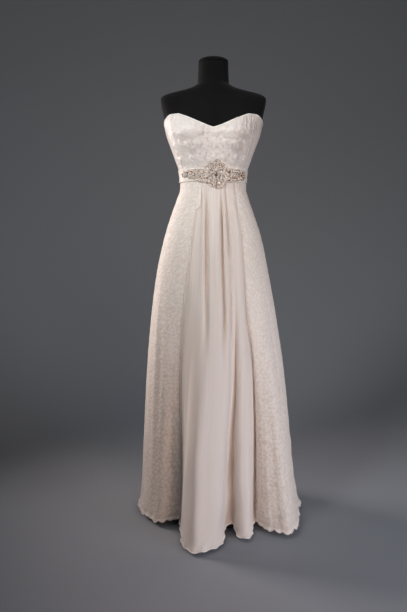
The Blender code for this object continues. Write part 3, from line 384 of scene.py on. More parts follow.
# The piping is paler than the satin beside it: a painted highlight for the bright rim along the
# rolled edges.
piping_satin = grained("bias-cut satin piping", "FFFDFA", "FAF4EE", (8.0, 8.0), (0.5, 0.7), 0.3,
                       **SILKY)
silver_bead = grained("silver-lined glass bead", "FFFBF6", "E4DBD2", GLASS_GRAINS, (0.14, 0.26),
                      0.15, Metallic=0.2, **GLASSY)
champagne_bead = grained("champagne-lined glass bead", "E8CBAC", "B78F6C", GLASS_GRAINS,
                         (0.18, 0.30), 0.15, Metallic=0.3, **GLASSY)
bronze_bead = grained("bronze-lined glass bead", "6E513E", "3E2C22", GLASS_GRAINS, (0.2, 0.32),
                      0.15, Metallic=0.4, **GLASSY)
crystal = grained("foil-backed cut crystal", "FFFFFF", "E2E0E2", GLASS_GRAINS, (0.04, 0.16),
                  0.15, Metallic=0.15, **GLASSY)
smoked_crystal = grained("smoked cut crystal", "8E705A", "4A3428", GLASS_GRAINS, (0.05, 0.17),
                         0.15, Metallic=0.3, **GLASSY)
pearl = grained("pearl-coated glass", "FCF8F2", "EFE7DF", GLASS_GRAINS, (0.2, 0.32), 0.15,
                Metallic=0.0, **GLASSY)
claw_metal = grained("cast claw settings", "D6C8B8", "9C8A78", (2.0, 2.0), (0.24, 0.36), 0.05,
                     4.0, Metallic=0.8)
lacquer = grained("black lacquered beech", "1A1614", "0E0C0B", (8.0, 8.0), (0.24, 0.36), 0.1,
                  4.0, (1.0, 1.0, 0.15), Metallic=0.0)
powder_coat = grained("black powder-coated steel", "1C1C1E", "111113", (1.2, 1.2), (0.42, 0.54),
                      0.1, 4.0, Metallic=0.0)
zip_enamel = grained("ivory enamelled zinc", "E8DED2", "D2C5B6", (3.0, 3.0), (0.26, 0.38), 0.04,
                     4.0, Metallic=0.2)
zip_nylon = grained("ivory nylon coil", "EFE7DC", "DCD0C2", (1.5, 1.5), (0.39, 0.51), 0.05, 4.0,
                    Metallic=0.0)
print("finishes so far", len(bpy.data.materials))

# %% [markdown]
# Between the beads that are real shapes lies net sewn full of seed beads of 1.6 mm, in clusters. The
# dark brown between the clusters is painted shade for the shadow that falls between the raised
# beads. The beads are too small to model, so a cell pattern draws them. The form's cover is black
# cotton jersey, with ribs and rows of stitches.

# %% Bead net and jersey
SEED_BEAD = 1.6 * MM
SEED_CLUSTER = 7.0 * MM
SEED_RELIEF = 0.5 * MM
JERSEY_PATCH = 50.0 * MM
JERSEY_STITCH = (1.6 * MM, 1.8 * MM)
JERSEY_RELIEF = 0.12 * MM


def seed_net(name, light, dark):
    """Clear seed beads on net, in clusters, with painted shade between them."""
    material = new_finish(name, Specular_IOR_Level=0.6)
    place = add_node(material, "TexCoord", {}, "Object")
    seeds = add_node(material, "TexVoronoi", {"Vector": place, "Scale": 1.0 / SEED_BEAD})
    clusters = add_node(material, "TexVoronoi", {"Vector": place, "Scale": 1.0 / SEED_CLUSTER})
    domes = add_node(material, "Math", {0: 1.0, 1: seeds}, operation="SUBTRACT")
    mixed = add_node(material, "Math", {0: clusters, 1: 0.7, 2: seeds}, operation="MULTIPLY_ADD")
    # Painted shade: the colour turns dark brown between the clusters.
    shade_between_clusters = add_node(material, "MapRange", {"Value": mixed, "From Min": 0.80, "From Max": 1.15})
    return finish_with(material, (shade_between_clusters, light, dark), (seeds, 0.25, 0.6), (domes, SEED_RELIEF))


def knitted_jersey(name, light, dark):
    """Cotton jersey stretched over a shell: matt, with fine ribs of stitches."""
    material = new_finish(name, Sheen_Weight=0.05, Sheen_Roughness=0.6, Specular_IOR_Level=0.12)
    place = add_node(material, "TexCoord", {}, "Object")
    patches = add_node(material, "TexNoise", {"Vector": place, "Scale": 1.0 / JERSEY_PATCH})
    ribs, rows = (add_node(material, "TexWave", {"Vector": place,
                                                 "Scale": PERIOD_TO_WAVE_SCALE / pitch},
                           bands_direction=direction)
                  for direction, pitch in zip("XZ", JERSEY_STITCH))
    stitches = add_node(material, "Math", {0: ribs, 1: rows}, operation="MULTIPLY")
    return finish_with(material, (patches, light, dark), (patches, 0.85, 0.95),
                       (stitches, JERSEY_RELIEF))


bead_net = seed_net("net sewn with seed beads", "FFF3E7", "6E452E")
jersey = knitted_jersey("black cotton jersey", "0E0E0F", "08080A")
print("finishes", len(bpy.data.materials))

# %% [markdown]
# All soft surfaces follow one form. It is a table of oval sections with a height for each row.
# A smooth curve through the rows reads it at any height, and it never swings past a row, as a
# tailor's curve wouldn't. The numbers are the ones that the solids were built from.

# %% The form's sections
TORSO = read_table("""
    z half_width front back square bust
     0.95 16.3  9.9 11.2 2.2   0
     1.03   17 10.4 12.2 2.2   0
      1.1 16.6 10.4   12 2.2   0
    1.163 14.9   10   11 2.2   0
    1.207 13.2  9.5  9.8 2.2   0
     1.25 11.8  9.1    9 2.2   0
    1.302   12  9.1  8.8 2.2   0
    1.367 13.9  9.8  9.7 2.2 0.7
     1.41 15.5 10.1 10.4 2.3 2.1
    1.453   17   10   11 2.4 2.9
    1.478 17.5  9.6 11.1 2.5 2.3
    1.514 18.1  8.7   11 2.7 0.9
    1.556   19  7.4  9.8 2.8   0
    1.577 19.2  6.6  8.6 2.7   0
    1.589   18  6.2  7.8 2.5   0
    1.599 14.6    6  7.2 2.4   0
    1.609 10.4  5.9  6.7 2.2   0
    1.621  7.2  5.8  6.1 2.1   0
    1.633  5.7  5.6  5.6   2   0
    1.705  5.4  5.4  5.4   2   0
""")
BUST_X = 8.6 * CM
BUST_SPREAD = 6.0 * CM
BUST_FACING = 0.55
WAIST_SEAM_Z = 1.300


def smooth(xs, ys, place):
    """Read a curve through rows of xs and ys at any places, without overshooting the rows."""
    order = np.argsort(xs)
    xs = np.asarray(xs)[order]
    ys = np.asarray(ys)[order]
    steps = np.diff(xs)
    slopes = np.diff(ys) / steps
    same = slopes[:-1] * slopes[1:] > 0
    blend = 2.0 * slopes[:-1] * slopes[1:] / np.where(same, slopes[:-1] + slopes[1:], 1.0)
    tangents = np.concatenate((slopes[:1], np.where(same, blend, 0.0), slopes[-1:]))
    place = np.clip(place, xs[0], xs[-1])
    i = np.clip(np.searchsorted(xs, place, side="right") - 1, 0, len(steps) - 1)
    t = (place - xs[i]) / steps[i]
    start = ys[i] * (1 + 2 * t) * (1 - t) ** 2 + steps[i] * tangents[i] * t * (1 - t) ** 2
    end = ys[i + 1] * t * t * (3 - 2 * t) + steps[i] * tangents[i + 1] * t * t * (t - 1)
    return start + end


def ease(value, low, high):
    """A soft step from 0 at low to 1 at high."""
    t = np.clip((value - low) / (high - low), 0.0, 1.0)
    return t * t * (3 - 2 * t)


def mound(value, centre, width):
    """A round mound of height 1."""
    return np.exp(-((value - centre) / width) ** 2)


def torso_value(name, z):
    """One column of the torso's table at any heights."""
    return smooth(TORSO["z"], TORSO[name], z)


def oval(turn, half_width, front, back, square):
    """Points of an oval, where a turn of 0 faces the front and 90 degrees the right side."""
    s = np.sin(np.radians(turn))
    c = np.cos(np.radians(turn))
    x = half_width * np.sign(s) * np.abs(s) ** (2.0 / square)
    y = -np.where(c > 0, front, back) * np.sign(c) * np.abs(c) ** (2.0 / square)
    return x, y


def torso_point(turn, z, lift=0.0):
    """Points of the torso, moved out of it by lift."""
    turn, z, lift = np.broadcast_arrays(turn, z, lift)
    x, y = oval(turn, torso_value("half_width", z) * CM + lift,
                torso_value("front", z) * CM + lift, torso_value("back", z) * CM + lift,
                torso_value("square", z))
    facing = ease(np.cos(np.radians(turn)), 0.0, BUST_FACING)
    rounds = mound(x, BUST_X, BUST_SPREAD) + mound(x, -BUST_X, BUST_SPREAD)
    return np.stack((x, y - torso_value("bust", z) * CM * rounds * facing, z), axis=-1)


def line_length(points):
    """The length of a line through points, in metres."""
    return round(float(np.linalg.norm(np.diff(points, axis=0), axis=1).sum()), 3)


whole_turn = np.linspace(-180.0, 180.0, 361)
print("waist", line_length(torso_point(whole_turn, WAIST_SEAM_Z)), "m round")

# %% [markdown]
# The form itself: a stuffed jersey torso could be sculpted, but a ball has the right topology
# already. Each of its rings moves to one height and each of its meridians to one turn, so a ball
# becomes a torso with a flat neck and a flat bottom. A shallow groove marks the cover's seams.

# %% The jersey torso
FORM_BOTTOM_Z = 0.950
NECK_TOP_Z = 1.705
SEAM_GAP = 0.3 * MM
CAP_SHARE = 0.03
COVER_SEAMS = (-180.0, -90.0, 0.0, 90.0, 180.0)
COVER_SEAM_DEGREES = 1.2
COVER_SEAM_DEPTH = 0.5 * MM
COVER_SEAM_TOP_Z = 1.60
TORSO_SEGMENTS = 128
TORSO_RINGS = 190


def belongs(piece, slot, *nodes):
    """A piece moves with the dress and stands in for these solids, which are hidden; slot is not
    used.
    """
    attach(piece, DRESS)
    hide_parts(*nodes)


def place_points(piece, points):
    """Move every point of a mesh."""
    piece.data.vertices.foreach_set("co", np.asarray(points, np.float32).reshape(-1))
    piece.data.update()


def read_points(piece):
    """Every point of a mesh, as rows of x, y and z."""
    points = np.empty(len(piece.data.vertices) * 3, np.float32)
    piece.data.vertices.foreach_get("co", points)
    return points.reshape(-1, 3).astype(float)


def shape_ball(name, segments, rings, place, finish):
    """Add a ball and move each point by its turn and its share of the way down."""
    ball = add_piece(bpy.ops.mesh.primitive_uv_sphere_add, name, segments=segments,
                     ring_count=rings, radius=1.0)
    x, y, z = read_points(ball).T
    turn = np.degrees(np.arctan2(x, -y))
    share = np.arccos(np.clip(z, -1.0, 1.0)) / math.pi
    place_points(ball, place(turn, share))
    return give_finish(ball, finish)


def torso_skin(turn, share):
    """The torso's point: a flat cap over a few rings at each end, the sections between."""
    down = np.clip((share - CAP_SHARE) / (1 - 2 * CAP_SHARE), 0, 1)
    z = NECK_TOP_Z + (FORM_BOTTOM_Z - NECK_TOP_Z) * down
    spread = np.clip(np.minimum(share, 1.0 - share) / CAP_SHARE, 0.0, 1.0)
    seams = sum(mound(turn, at, COVER_SEAM_DEGREES) for at in COVER_SEAMS)
    points = torso_point(turn, z, -COVER_SEAM_DEPTH * seams * (z < COVER_SEAM_TOP_Z))
    points[:, :2] *= spread[:, None]
    return points


torso_cover = shape_ball("jersey_torso", TORSO_SEGMENTS, TORSO_RINGS, torso_skin, jersey)
belongs(torso_cover, "black_jersey", "form_torso")
print("torso", [round(v, 3) for v in torso_cover.dimensions])

# %% [markdown]
# The neck cap, the collar, the pole and the base are turned pieces. Each starts as a cylinder of
# its real size. A bevel rounds the edges that a lathe would break, and the cap gets a dome by
# lifting its top points toward the middle.

# %% Cap, collar, pole and base
CAP_RADIUS = 54.0 * MM
CAP_HEIGHT = 18.0 * MM
CAP_EDGE = 4.0 * MM
CAP_DOME_SHARE = 0.55
CAP_UNDER_SHARE = 0.80
CAP_ROUNDING = 0.75
CAP_RINGS = 40
COLLAR_RADIUS = 30.0 * MM
COLLAR_HEIGHT = 22.0 * MM
POLE_RADIUS = 14.0 * MM
POLE_EDGE = 1.0 * MM
BASE_RADIUS = 150.0 * MM
BASE_HEIGHT = 14.0 * MM
LATHE_EDGE = 3.0 * MM
ROUND_SIDES = 96


def turned(name, radius, low, high, edge, finish):
    """A cylinder between two heights with rounded edges, its place in its mesh."""
    piece = add_piece(bpy.ops.mesh.primitive_cylinder_add, name, vertices=ROUND_SIDES,
                      radius=radius, depth=high - low, location=(0.0, 0.0, (low + high) / 2))
    apply_modifier(piece, "BEVEL", width=edge, segments=4, limit_method="ANGLE")
    return give_finish(piece, finish)


def cap_skin(turn, share):
    """A low dome over a short upright edge, closed flat underneath."""
    across = np.clip(share / CAP_DOME_SHARE, 0.0, 1.0) * math.pi / 2
    fall = np.clip((share - CAP_DOME_SHARE) / (CAP_UNDER_SHARE - CAP_DOME_SHARE), 0.0, 1.0)
    under = np.clip((share - CAP_UNDER_SHARE) / (1.0 - CAP_UNDER_SHARE), 0.0, 1.0)
    radius = CAP_RADIUS * np.sin(across) ** CAP_ROUNDING * (1.0 - under)
    rise = (CAP_HEIGHT - CAP_EDGE) * np.cos(across) + CAP_EDGE * (1.0 - fall)
    spin = np.radians(turn)
    return np.stack((radius * np.sin(spin), -radius * np.cos(spin),
                     NECK_TOP_Z + SEAM_GAP + rise), axis=-1)


collar_top = FORM_BOTTOM_Z - SEAM_GAP
collar_low = collar_top - COLLAR_HEIGHT
neck_cap = shape_ball("neck_cap", ROUND_SIDES, CAP_RINGS, cap_skin, jersey)
collar = turned("pole_collar", COLLAR_RADIUS, collar_low, collar_top, LATHE_EDGE, lacquer)
pole = turned("steel_pole", POLE_RADIUS, BASE_HEIGHT + SEAM_GAP, collar_low - SEAM_GAP,
              POLE_EDGE, powder_coat)
base = turned("round_base", BASE_RADIUS, 0.0, BASE_HEIGHT, LATHE_EDGE, powder_coat)
belongs(neck_cap, "black_jersey", "form_neck_cap")
belongs(collar, "black_wood", "form_collar")
belongs(pole, "black_steel", "stand_pole")
belongs(base, "black_steel", "stand_base")
print("stand height", round(collar_top, 3))

# %% [markdown]
# A cloth is cut flat and then hung. So each panel starts as a flat grid, whose points are moved to
# where the cloth hangs, and a Solidify modifier gives it its thickness on the inner side. The UV
# map keeps metres across and down the cloth, so a weave or a lace keeps its real size on a fold.

# %% Hanging cloth
# The painted shade in grooves compares each point with this many columns on each side. It is full
# where the depth is this share of the half width.
CREASE_SHADE_COLUMNS = 5
CREASE_SHADE_FULL = 0.42
CLOTH_SMOOTH_DEGREES = 50.0


def flat_places(grid):
    """Metres across each row from its left end, and down from the top row."""
    across = np.linalg.norm(np.diff(grid, axis=1), axis=2)
    across = np.pad(np.cumsum(across, axis=1), ((0, 0), (1, 0)))
    down = np.linalg.norm(np.diff(grid, axis=0), axis=2).mean(axis=1)
    down = np.pad(np.cumsum(down), (1, 0))
    return np.stack((across, np.broadcast_to(down[:, None], across.shape)), axis=-1)


def grid_normals(grid):
    """Outward normals of rows that run down and columns that run to the viewer's right."""
    normals = np.cross(np.gradient(grid, axis=0), np.gradient(grid, axis=1))
    return normals / np.linalg.norm(normals, axis=2, keepdims=True)


def hollows(grid):
    """How deep each point lies between its neighbours across: 0 on a ridge, 1 in a groove; this sets
    the painted shade.
    """
    reach = CREASE_SHADE_COLUMNS
    columns = grid.shape[1]
    wide = np.pad(grid, ((0, 0), (reach, reach), (0, 0)), mode="edge")
    middle = sum(wide[:, k:k + columns] for k in range(2 * reach + 1)) / (2 * reach + 1)
    span = np.linalg.norm(wide[:, 2 * reach:] - wide[:, :columns], axis=2) / 2
    sunk = ((middle - grid) * grid_normals(grid)).sum(axis=2)
    return np.clip(sunk / span / CREASE_SHADE_FULL, 0.0, 1.0)


def hang_cloth(name, grid, thickness, finish):
    """Add a flat grid, hang it on rows and columns of points, and give it a wall inside them."""
    rows, columns = grid.shape[:2]
    cloth = add_piece(bpy.ops.mesh.primitive_grid_add, name, x_subdivisions=columns - 1,
                      y_subdivisions=rows - 1, size=1.0)
    place_points(cloth, grid[::-1])
    corners = np.empty(len(cloth.data.loops), np.int32)
    cloth.data.loops.foreach_get("vertex_index", corners)
    flat = flat_places(grid)
    folds = flat.copy()
    folds[..., 0] = np.linspace(0.0, flat[-1, -1, 0], columns)
    for layer, places in ((cloth.data.uv_layers[0], flat),
                          (cloth.data.uv_layers.new(name="folds"), folds)):
        places = places[::-1].reshape(-1, 2)[corners].astype(np.float32)
        layer.data.foreach_set("uv", places.reshape(-1))
    # This attribute carries the painted shade of the grooves to the finishes.
    deep = cloth.data.attributes.new("hollow", "FLOAT", "POINT")
    deep.data.foreach_set("value", hollows(grid)[::-1].reshape(-1).astype(np.float32))
    apply_modifier(cloth, "SOLIDIFY", thickness=thickness, offset=-1.0)
    return give_finish(cloth, finish, CLOTH_SMOOTH_DEGREES)


print("a groove is dark when its depth is", CREASE_SHADE_FULL, "of its half width")

# %% [markdown]
# What is sewn onto a cloth, such as a border, a flower or a cord, needs its place on the hung cloth.
# Cloth finds any place on a panel again from metres across and down it. A cord is a curve with a
# round bevel, which stays easy to lay along any row of points until it is made a mesh.

# %% Places on a cloth, and cords
class Cloth:
    """A hung panel that can be read in metres across from one of its columns and down its rows."""

    def __init__(self, grid, from_column=0, columns=500):
        places = flat_places(grid)
        self.widths = places[:, -1, 0]
        self.starts = places[:, from_column, 0]
        self.drops = places[:, 0, 1]
        self.area = float(np.trapz(self.widths, self.drops))
        shares = np.linspace(0.0, 1.0, columns)
        self.points = np.empty((grid.shape[0], columns, 3))
        for row, line in enumerate(grid):
            for axis in range(3):
                self.points[row, :, axis] = np.interp(shares * self.widths[row],
                                                      places[row, :, 0], line[:, axis])
        self.normals = grid_normals(self.points)

    def width(self, down):
        """The panel's width at this far down."""
        return np.interp(down, self.drops, self.widths)

    def at(self, across, down, lift):
        """Points this far across and down the cloth, and this far out of it."""
        across, down, lift = np.broadcast_arrays(across, down, lift)
        rows, columns = self.points.shape[:2]
        row = np.interp(down, self.drops, np.arange(rows))
        across = across + np.interp(down, self.drops, self.starts)
        column = np.clip(across / self.width(down), 0.0, 1.0) * (columns - 1)
        r = np.minimum(row.astype(int), rows - 2)
        c = np.minimum(column.astype(int), columns - 2)
        a = (row - r)[..., None]
        b = (column - c)[..., None]
        read = []
        for grid in (self.points, self.normals):
            upper = grid[r, c] * (1 - b) + grid[r, c + 1] * b
            lower = grid[r + 1, c] * (1 - b) + grid[r + 1, c + 1] * b
            read.append(upper * (1 - a) + lower * a)
        return read[0] + read[1] * lift[..., None]


def cord_along(name, points, radius, finish, sides=8, closed=False):
    """A round cord through points, as a curve with a bevel that is then made a mesh."""
    curve = bpy.data.curves.new(name, "CURVE")
    curve.dimensions = "3D"
    curve.bevel_depth = radius
    curve.bevel_resolution = max(0, sides // 2 - 2)
    curve.use_fill_caps = not closed
    line = curve.splines.new("POLY")
    line.points.add(len(points) - 1)
    line.points.foreach_set("co", np.column_stack((points, np.ones(len(points)))).reshape(-1))
    line.use_cyclic_u = closed
    cord = bpy.data.objects.new(name, curve)
    bpy.context.scene.collection.objects.link(cord)
    select_only(cord)
    bpy.ops.object.convert(target="MESH")
    return give_finish(bpy.context.object, finish)


print("a hung cloth gives its", [name for name in vars(Cloth) if not name.startswith("_")])

# %% [markdown]
# The bodice is five boned panels. Each is a strip between two seam lines, hung a little off the
# form. Underbust darts draw the cloth in below the fullest line, and every seam pulls its edge in.
# Points crowd toward the seams, where the cloth turns fastest, so a seam looks sewn and not cut.

# %% Bodice shape
BODICE_WALL = 2.0 * MM
BODICE_LIFT = 1.2 * MM
BODICE_LOW_ROW_Z = 1.3245
TOP_EDGE = read_table("""
    turn z
      0  1.461
     12  1.479
     25 1.4985
     38  1.511
     52 1.5105
     66  1.501
     82  1.489
    105  1.472
    140  1.454
    180  1.448
""")
DART_ROOM = 4.5 * MM
DART_DEGREES = 41.0
DART_WIDTH_DEGREES = 8.0
DART_DEPTH = 4.6 * MM
DART_LOW_Z = 1.322
DART_FULL_Z = 1.367
DART_FADE_Z = 1.414
DART_HIGH_Z = 1.440
DART_ROOM_FULL_Z = 1.360
DART_ROOM_END_Z = 1.505
DART_FACING = (0.1, 0.7)
SHELF_FACING = (0.3, 0.8)
SHELF_Z = 1.448
SHELF_DROP = 1.7 * MM
SHELF_WIDTH = 14.0 * MM
SHELF_UNDER_Z = SHELF_Z - 1.8 * SHELF_WIDTH
BODICE_SEAM_DEPTH = 1.0 * MM
BODICE_SEAM_REACH = 2.8 * MM


def dart_room(turn, z):
    """How far the cloth stands off the torso where the underbust darts are sewn."""
    facing = ease(np.cos(np.radians(turn)), *DART_FACING)
    below = ease(z, BODICE_LOW_ROW_Z, DART_ROOM_FULL_Z)
    return DART_ROOM * facing * below * (1.0 - ease(z, DART_HIGH_Z, DART_ROOM_END_Z))


def dart_trough(turn, z):
    """Depth of the underbust darts, widest under the bust."""
    along = ease(z, DART_LOW_Z, DART_FULL_Z) * (1.0 - ease(z, DART_FADE_Z, DART_HIGH_Z))
    return DART_DEPTH * along * mound(np.abs(turn), DART_DEGREES, DART_WIDTH_DEGREES)


def bust_shelf(turn, z):
    """A fuller line over the bust and a flatter one just under it."""
    facing = ease(np.cos(np.radians(turn)), *SHELF_FACING)
    full = mound(z, SHELF_Z, SHELF_WIDTH)
    under = mound(z, SHELF_UNDER_Z, SHELF_WIDTH)
    return SHELF_DROP * facing * (full - under)


print("darts", DART_DEPTH / MM, "mm deep")

# %% [markdown]
# Satin that is drawn tight between bust, boning and belt shows soft drag lines. They can't be the
# same left and right, so each is a row of a table: where it starts and ends, how wide it is, and
# how far it rises or sinks.

# %% Drag lines in the satin
DRAGS = read_table("""
    turn_high z_high turn_low z_low width height
     -74  1.48  -68 1.335 2.4 -0.9
     -66  1.47  -61  1.33   2  0.7
     -55 1.462  -52 1.335   3    1
     -30 1.437  -33 1.322 2.6  0.9
     -24 1.395  -31 1.322 1.8 -0.8
     -12 1.405  -24 1.322 2.2  0.8
      -8 1.372  -17 1.322 1.7 -0.9
       3  1.38   -5  1.33   2  0.6
      14 1.394    2 1.326   2   -1
      19 1.398    8 1.326   2    1
      24 1.388   15 1.324   2 -0.9
      17 1.425   28  1.35   2  0.7
      30  1.43   34 1.325 2.2  0.7
      37 1.515   49 1.345 6.5    3
      57  1.51   62  1.33   5 -2.4
      75 1.472   69 1.335 2.6  0.8
     -46 1.512  -36 1.466   3 -0.8
     -35 1.508  -22 1.468 2.4  0.6
     -18 1.494   -8 1.462 2.2 -0.6
      16 1.492    7  1.46 2.2 -0.6
      36  1.51   27 1.466 2.8 -0.7
      92  1.48   97  1.33   3 -0.9
     126 1.455  121 1.325 3.4  0.9
     150  1.44  143 1.322 3.2   -1
     168  1.42  161 1.322 2.4  0.7
     -95 1.478  -90  1.33   3  0.9
    -133  1.45 -126 1.325 3.2 -0.9
    -152  1.44 -147 1.322   3  0.8
    -169  1.43 -163 1.322 2.4 -0.8
""")
DRAG_RISES_TO = 0.35
DRAG_FALLS_FROM = 0.7


def drag_lines(turn, z):
    """How far the satin rises or sinks along its drag lines."""
    raised = 0.0
    for row in rows_of(DRAGS):
        down = (row["z_high"] - z) / (row["z_high"] - row["z_low"])
        middle = row["turn_high"] + (row["turn_low"] - row["turn_high"]) * down
        fade = ease(down, 0.0, DRAG_RISES_TO) * (1.0 - ease(down, DRAG_FALLS_FROM, 1.0))
        raised = raised + row["height"] * MM * fade * mound(turn, middle, row["width"])
    return raised


def bodice_point(turn, z, lift):
    """Points of the bodice's cloth, where lift counts from the wall's inner face."""
    turn, z = np.broadcast_arrays(turn, z)
    out = BODICE_LIFT + lift + dart_room(turn, z) - dart_trough(turn, z)
    return torso_point(turn, z, out + bust_shelf(turn, z) + drag_lines(turn, z))


def top_edge(turn):
    """Height of the bodice's top edge at a turn."""
    return smooth(TOP_EDGE["turn"], TOP_EDGE["z"], np.abs(turn))


print("drag lines", len(DRAGS["width"]), "top edge", round(float(top_edge(0.0)), 3), "m in front")

# %% [markdown]
# A tailor cuts five panels, so there are five here, each with its own grid between two seam lines.
# One wide panel would need less code, but its seams would be drawn and not sewn. At centre back
# the two edges part by the width of the zip's coil.

# %% Bodice panels
BODICE_ROWS = 70
BODICE_PANELS = read_table("""
    piece            low_start high_start low_end high_end columns node
    satin_back_left       -180       -180    -112     -112      50 bodice_back_left
    satin_side_left       -112       -112     -57      -43      44 bodice_side_left
    satin_front            -57        -43      57       43     130 bodice_front
    satin_side_right        57         43     112      112      44 bodice_side_right
    satin_back_right       112        112     180      180      50 bodice_back_right
""")
SEAM_CROWDING = 0.65
ZIP_HALF_GAP = 1.2 * MM
ZIP_EDGE_REACH = 6.0 * MM
BODICE_SHELL = BODICE_WALL - 0.2 * MM


def seam_pull(grid, depth, reach):
    """Draw the cloth in along the two side edges of a panel."""
    places = flat_places(grid)[..., 0]
    from_edge = np.minimum(places, places[:, -1:] - places)
    return grid - grid_normals(grid) * (depth * mound(from_edge, 0.0, reach))[..., None]


def bodice_grid(panel):
    """Rows from the top edge down to the waist seam, columns from one seam line to the next."""
    columns = int(panel["columns"])
    down = np.linspace(0.0, 1.0, BODICE_ROWS)[:, None]
    crowd = 0.5 - 0.5 * np.cos(np.linspace(0.0, math.pi, columns))
    even = np.linspace(0.0, 1.0, columns)
    across = (even + (crowd - even) * SEAM_CROWDING)[None, :]
    start, end = (panel["high_" + side] + (panel["low_" + side] - panel["high_" + side]) * down
                  for side in ("start", "end"))
    turn = start + (end - start) * across
    z = top_edge(turn) + (WAIST_SEAM_Z + SEAM_GAP - top_edge(turn)) * down
    return bodice_point(turn, z, BODICE_WALL)


def open_centre_back(grid, side):
    """Draw the edge at centre back away from the zip by the width of its coil."""
    edge = mound(grid[..., 0], 0.0, ZIP_EDGE_REACH) * (grid[..., 1] > 0)
    grid[..., 0] += side * ZIP_HALF_GAP * edge
    return grid


bodice = {}
for panel in rows_of(BODICE_PANELS):
    name, node = panel["piece"], panel["node"]
    grid = seam_pull(bodice_grid(panel), BODICE_SEAM_DEPTH, BODICE_SEAM_REACH)
    if "back" in name:
        grid = open_centre_back(grid, 1.0 if "right" in name else -1.0)
    bodice[node] = hang_cloth(name, grid, BODICE_SHELL, satin)
    belongs(bodice[node], "satin", node)
print("bodice panels", {name: len(piece.data.polygons) for name, piece in bodice.items()})

# %% [markdown]
# The top edge of the bodice is turned over a thin cord, so it ends in a fine bright roll. A curve
# with a round bevel follows the edge, and is made a mesh.

# %% Neckline roll
NECKLINE_ROLL = 2.3 * MM
NECKLINE_END_DEGREES = 180.0 - 0.8
NECKLINE_POINTS = 400

roll_turn = np.linspace(-NECKLINE_END_DEGREES, NECKLINE_END_DEGREES, NECKLINE_POINTS)
roll_line = bodice_point(roll_turn, top_edge(roll_turn), BODICE_WALL / 2)
neckline_roll = cord_along("neckline_roll", roll_line, NECKLINE_ROLL, piping_satin)
belongs(neckline_roll, "satin")
print("neckline", line_length(roll_line), "m")

# %% [markdown]
# The belt is a stiffened satin band between two pipings. It is wrapped round the waist seam and
# hangs straight below it. Its edges sink a little where the pipings are sewn on, and slow waves
# across it keep it from looking turned on a lathe.

# %% Belt band and pipings
BELT_TOP_Z = 1.3195
BELT_BOTTOM_Z = 1.2805
BELT_WALL = 2.0 * MM
BELT_LIFT = BODICE_LIFT + BODICE_WALL + 0.4 * MM
BELT_HALF_OPENING = 0.6 * MM
BELT_EDGE_SINK = 0.9 * MM
BELT_WAVE = 0.25 * MM
BELT_ROWS = 15
BELT_COLUMNS = 320
BELT_SHELL = BELT_WALL - 0.4 * MM
PIPING_RADIUS = 1.2 * MM


def belt_point(turn, z, lift):
    """Points over the belt, which lies on the bodice and hangs straight below the waist seam."""
    turn, z, lift = np.broadcast_arrays(turn, z, lift)
    low = torso_point(turn, WAIST_SEAM_Z, lift)
    high = torso_point(turn, BODICE_LOW_ROW_Z, lift)
    share = np.clip((z - WAIST_SEAM_Z) / (BODICE_LOW_ROW_Z - WAIST_SEAM_Z), 0.0, 1.0)
    straight = low + (high - low) * share[..., None]
    over = torso_point(turn, z, lift + dart_room(turn, z))
    point = np.where((z > BODICE_LOW_ROW_Z)[..., None], over, straight)
    point[..., 2] = z
    return point


belt_edge = math.degrees(BELT_HALF_OPENING / (torso_value("back", WAIST_SEAM_Z) * CM))
belt_turn = np.linspace(-180.0 + belt_edge, 180.0 - belt_edge, BELT_COLUMNS)[None, :]
belt_down = np.linspace(0.0, 1.0, BELT_ROWS)[:, None]
belt_z = BELT_TOP_Z + (BELT_BOTTOM_Z - BELT_TOP_Z) * belt_down
belt_sink = BELT_EDGE_SINK * (1.0 - np.sin(math.pi * belt_down)) ** 2
belt_wave = BELT_WAVE * np.sin(np.radians(belt_turn) * 7 + 5 * belt_down)
belt_grid = belt_point(belt_turn, belt_z, BELT_LIFT + BELT_WALL - belt_sink + belt_wave)
belt_band = hang_cloth("belt_band_satin", belt_grid, BELT_SHELL, belt_satin)
belongs(belt_band, "satin", "belt_band")
pipings = []
for name, z in (("belt_piping_top", BELT_TOP_Z + SEAM_GAP + PIPING_RADIUS),
                ("belt_piping_bottom", BELT_BOTTOM_Z - SEAM_GAP - PIPING_RADIUS)):
    line = belt_point(belt_turn[0], z, BELT_LIFT + PIPING_RADIUS)
    pipings.append(cord_along(name + "_cord", line, PIPING_RADIUS, piping_satin))
    belongs(pipings[-1], "piping", name)
print("belt", line_length(belt_grid[BELT_ROWS // 2]), "m round")

# %% [markdown]
# The skirt is one surface with three seams. Every fold is a line from the waist to the hem: the
# front lines are placed by their distance from the middle at six heights, the side and back lines
# by their turn. Between two lines the cloth follows a curve that can't loop over itself.

# %% Skirt sections
SKIRT_WALL = 1.4 * MM
SKIRT = read_table("""
    z left right front back
    1.245 12.35 12.25  9.3  9.3
    1.207  13.7  13.4  9.9 10.4
    1.163  15.3    15 10.9 11.9
    1.074  18.1  17.9 12.7 14.6
    0.939  21.1  20.8 13.9   18
    0.756  23.5  24.2 14.9 21.4
     0.57  25.1  26.9 15.5 24.2
    0.284  26.7  29.8   16 27.6
    0.139  27.3  31.2 16.2 29.2
     0.01  28.8  33.6 16.3 30.6
""")
HEM_LEVEL_Z = 0.010
HEM_SQUARE = 2.0
HEM_SQUARE_Z = 0.75
HIP_SQUARE = 2.2
HIP_SQUARE_Z = 1.10
WAIST_LEVEL_Z = 1.250
SKIRT_LEAVES_TORSO_Z = 1.272
SKIRT_FREE_Z = 1.225


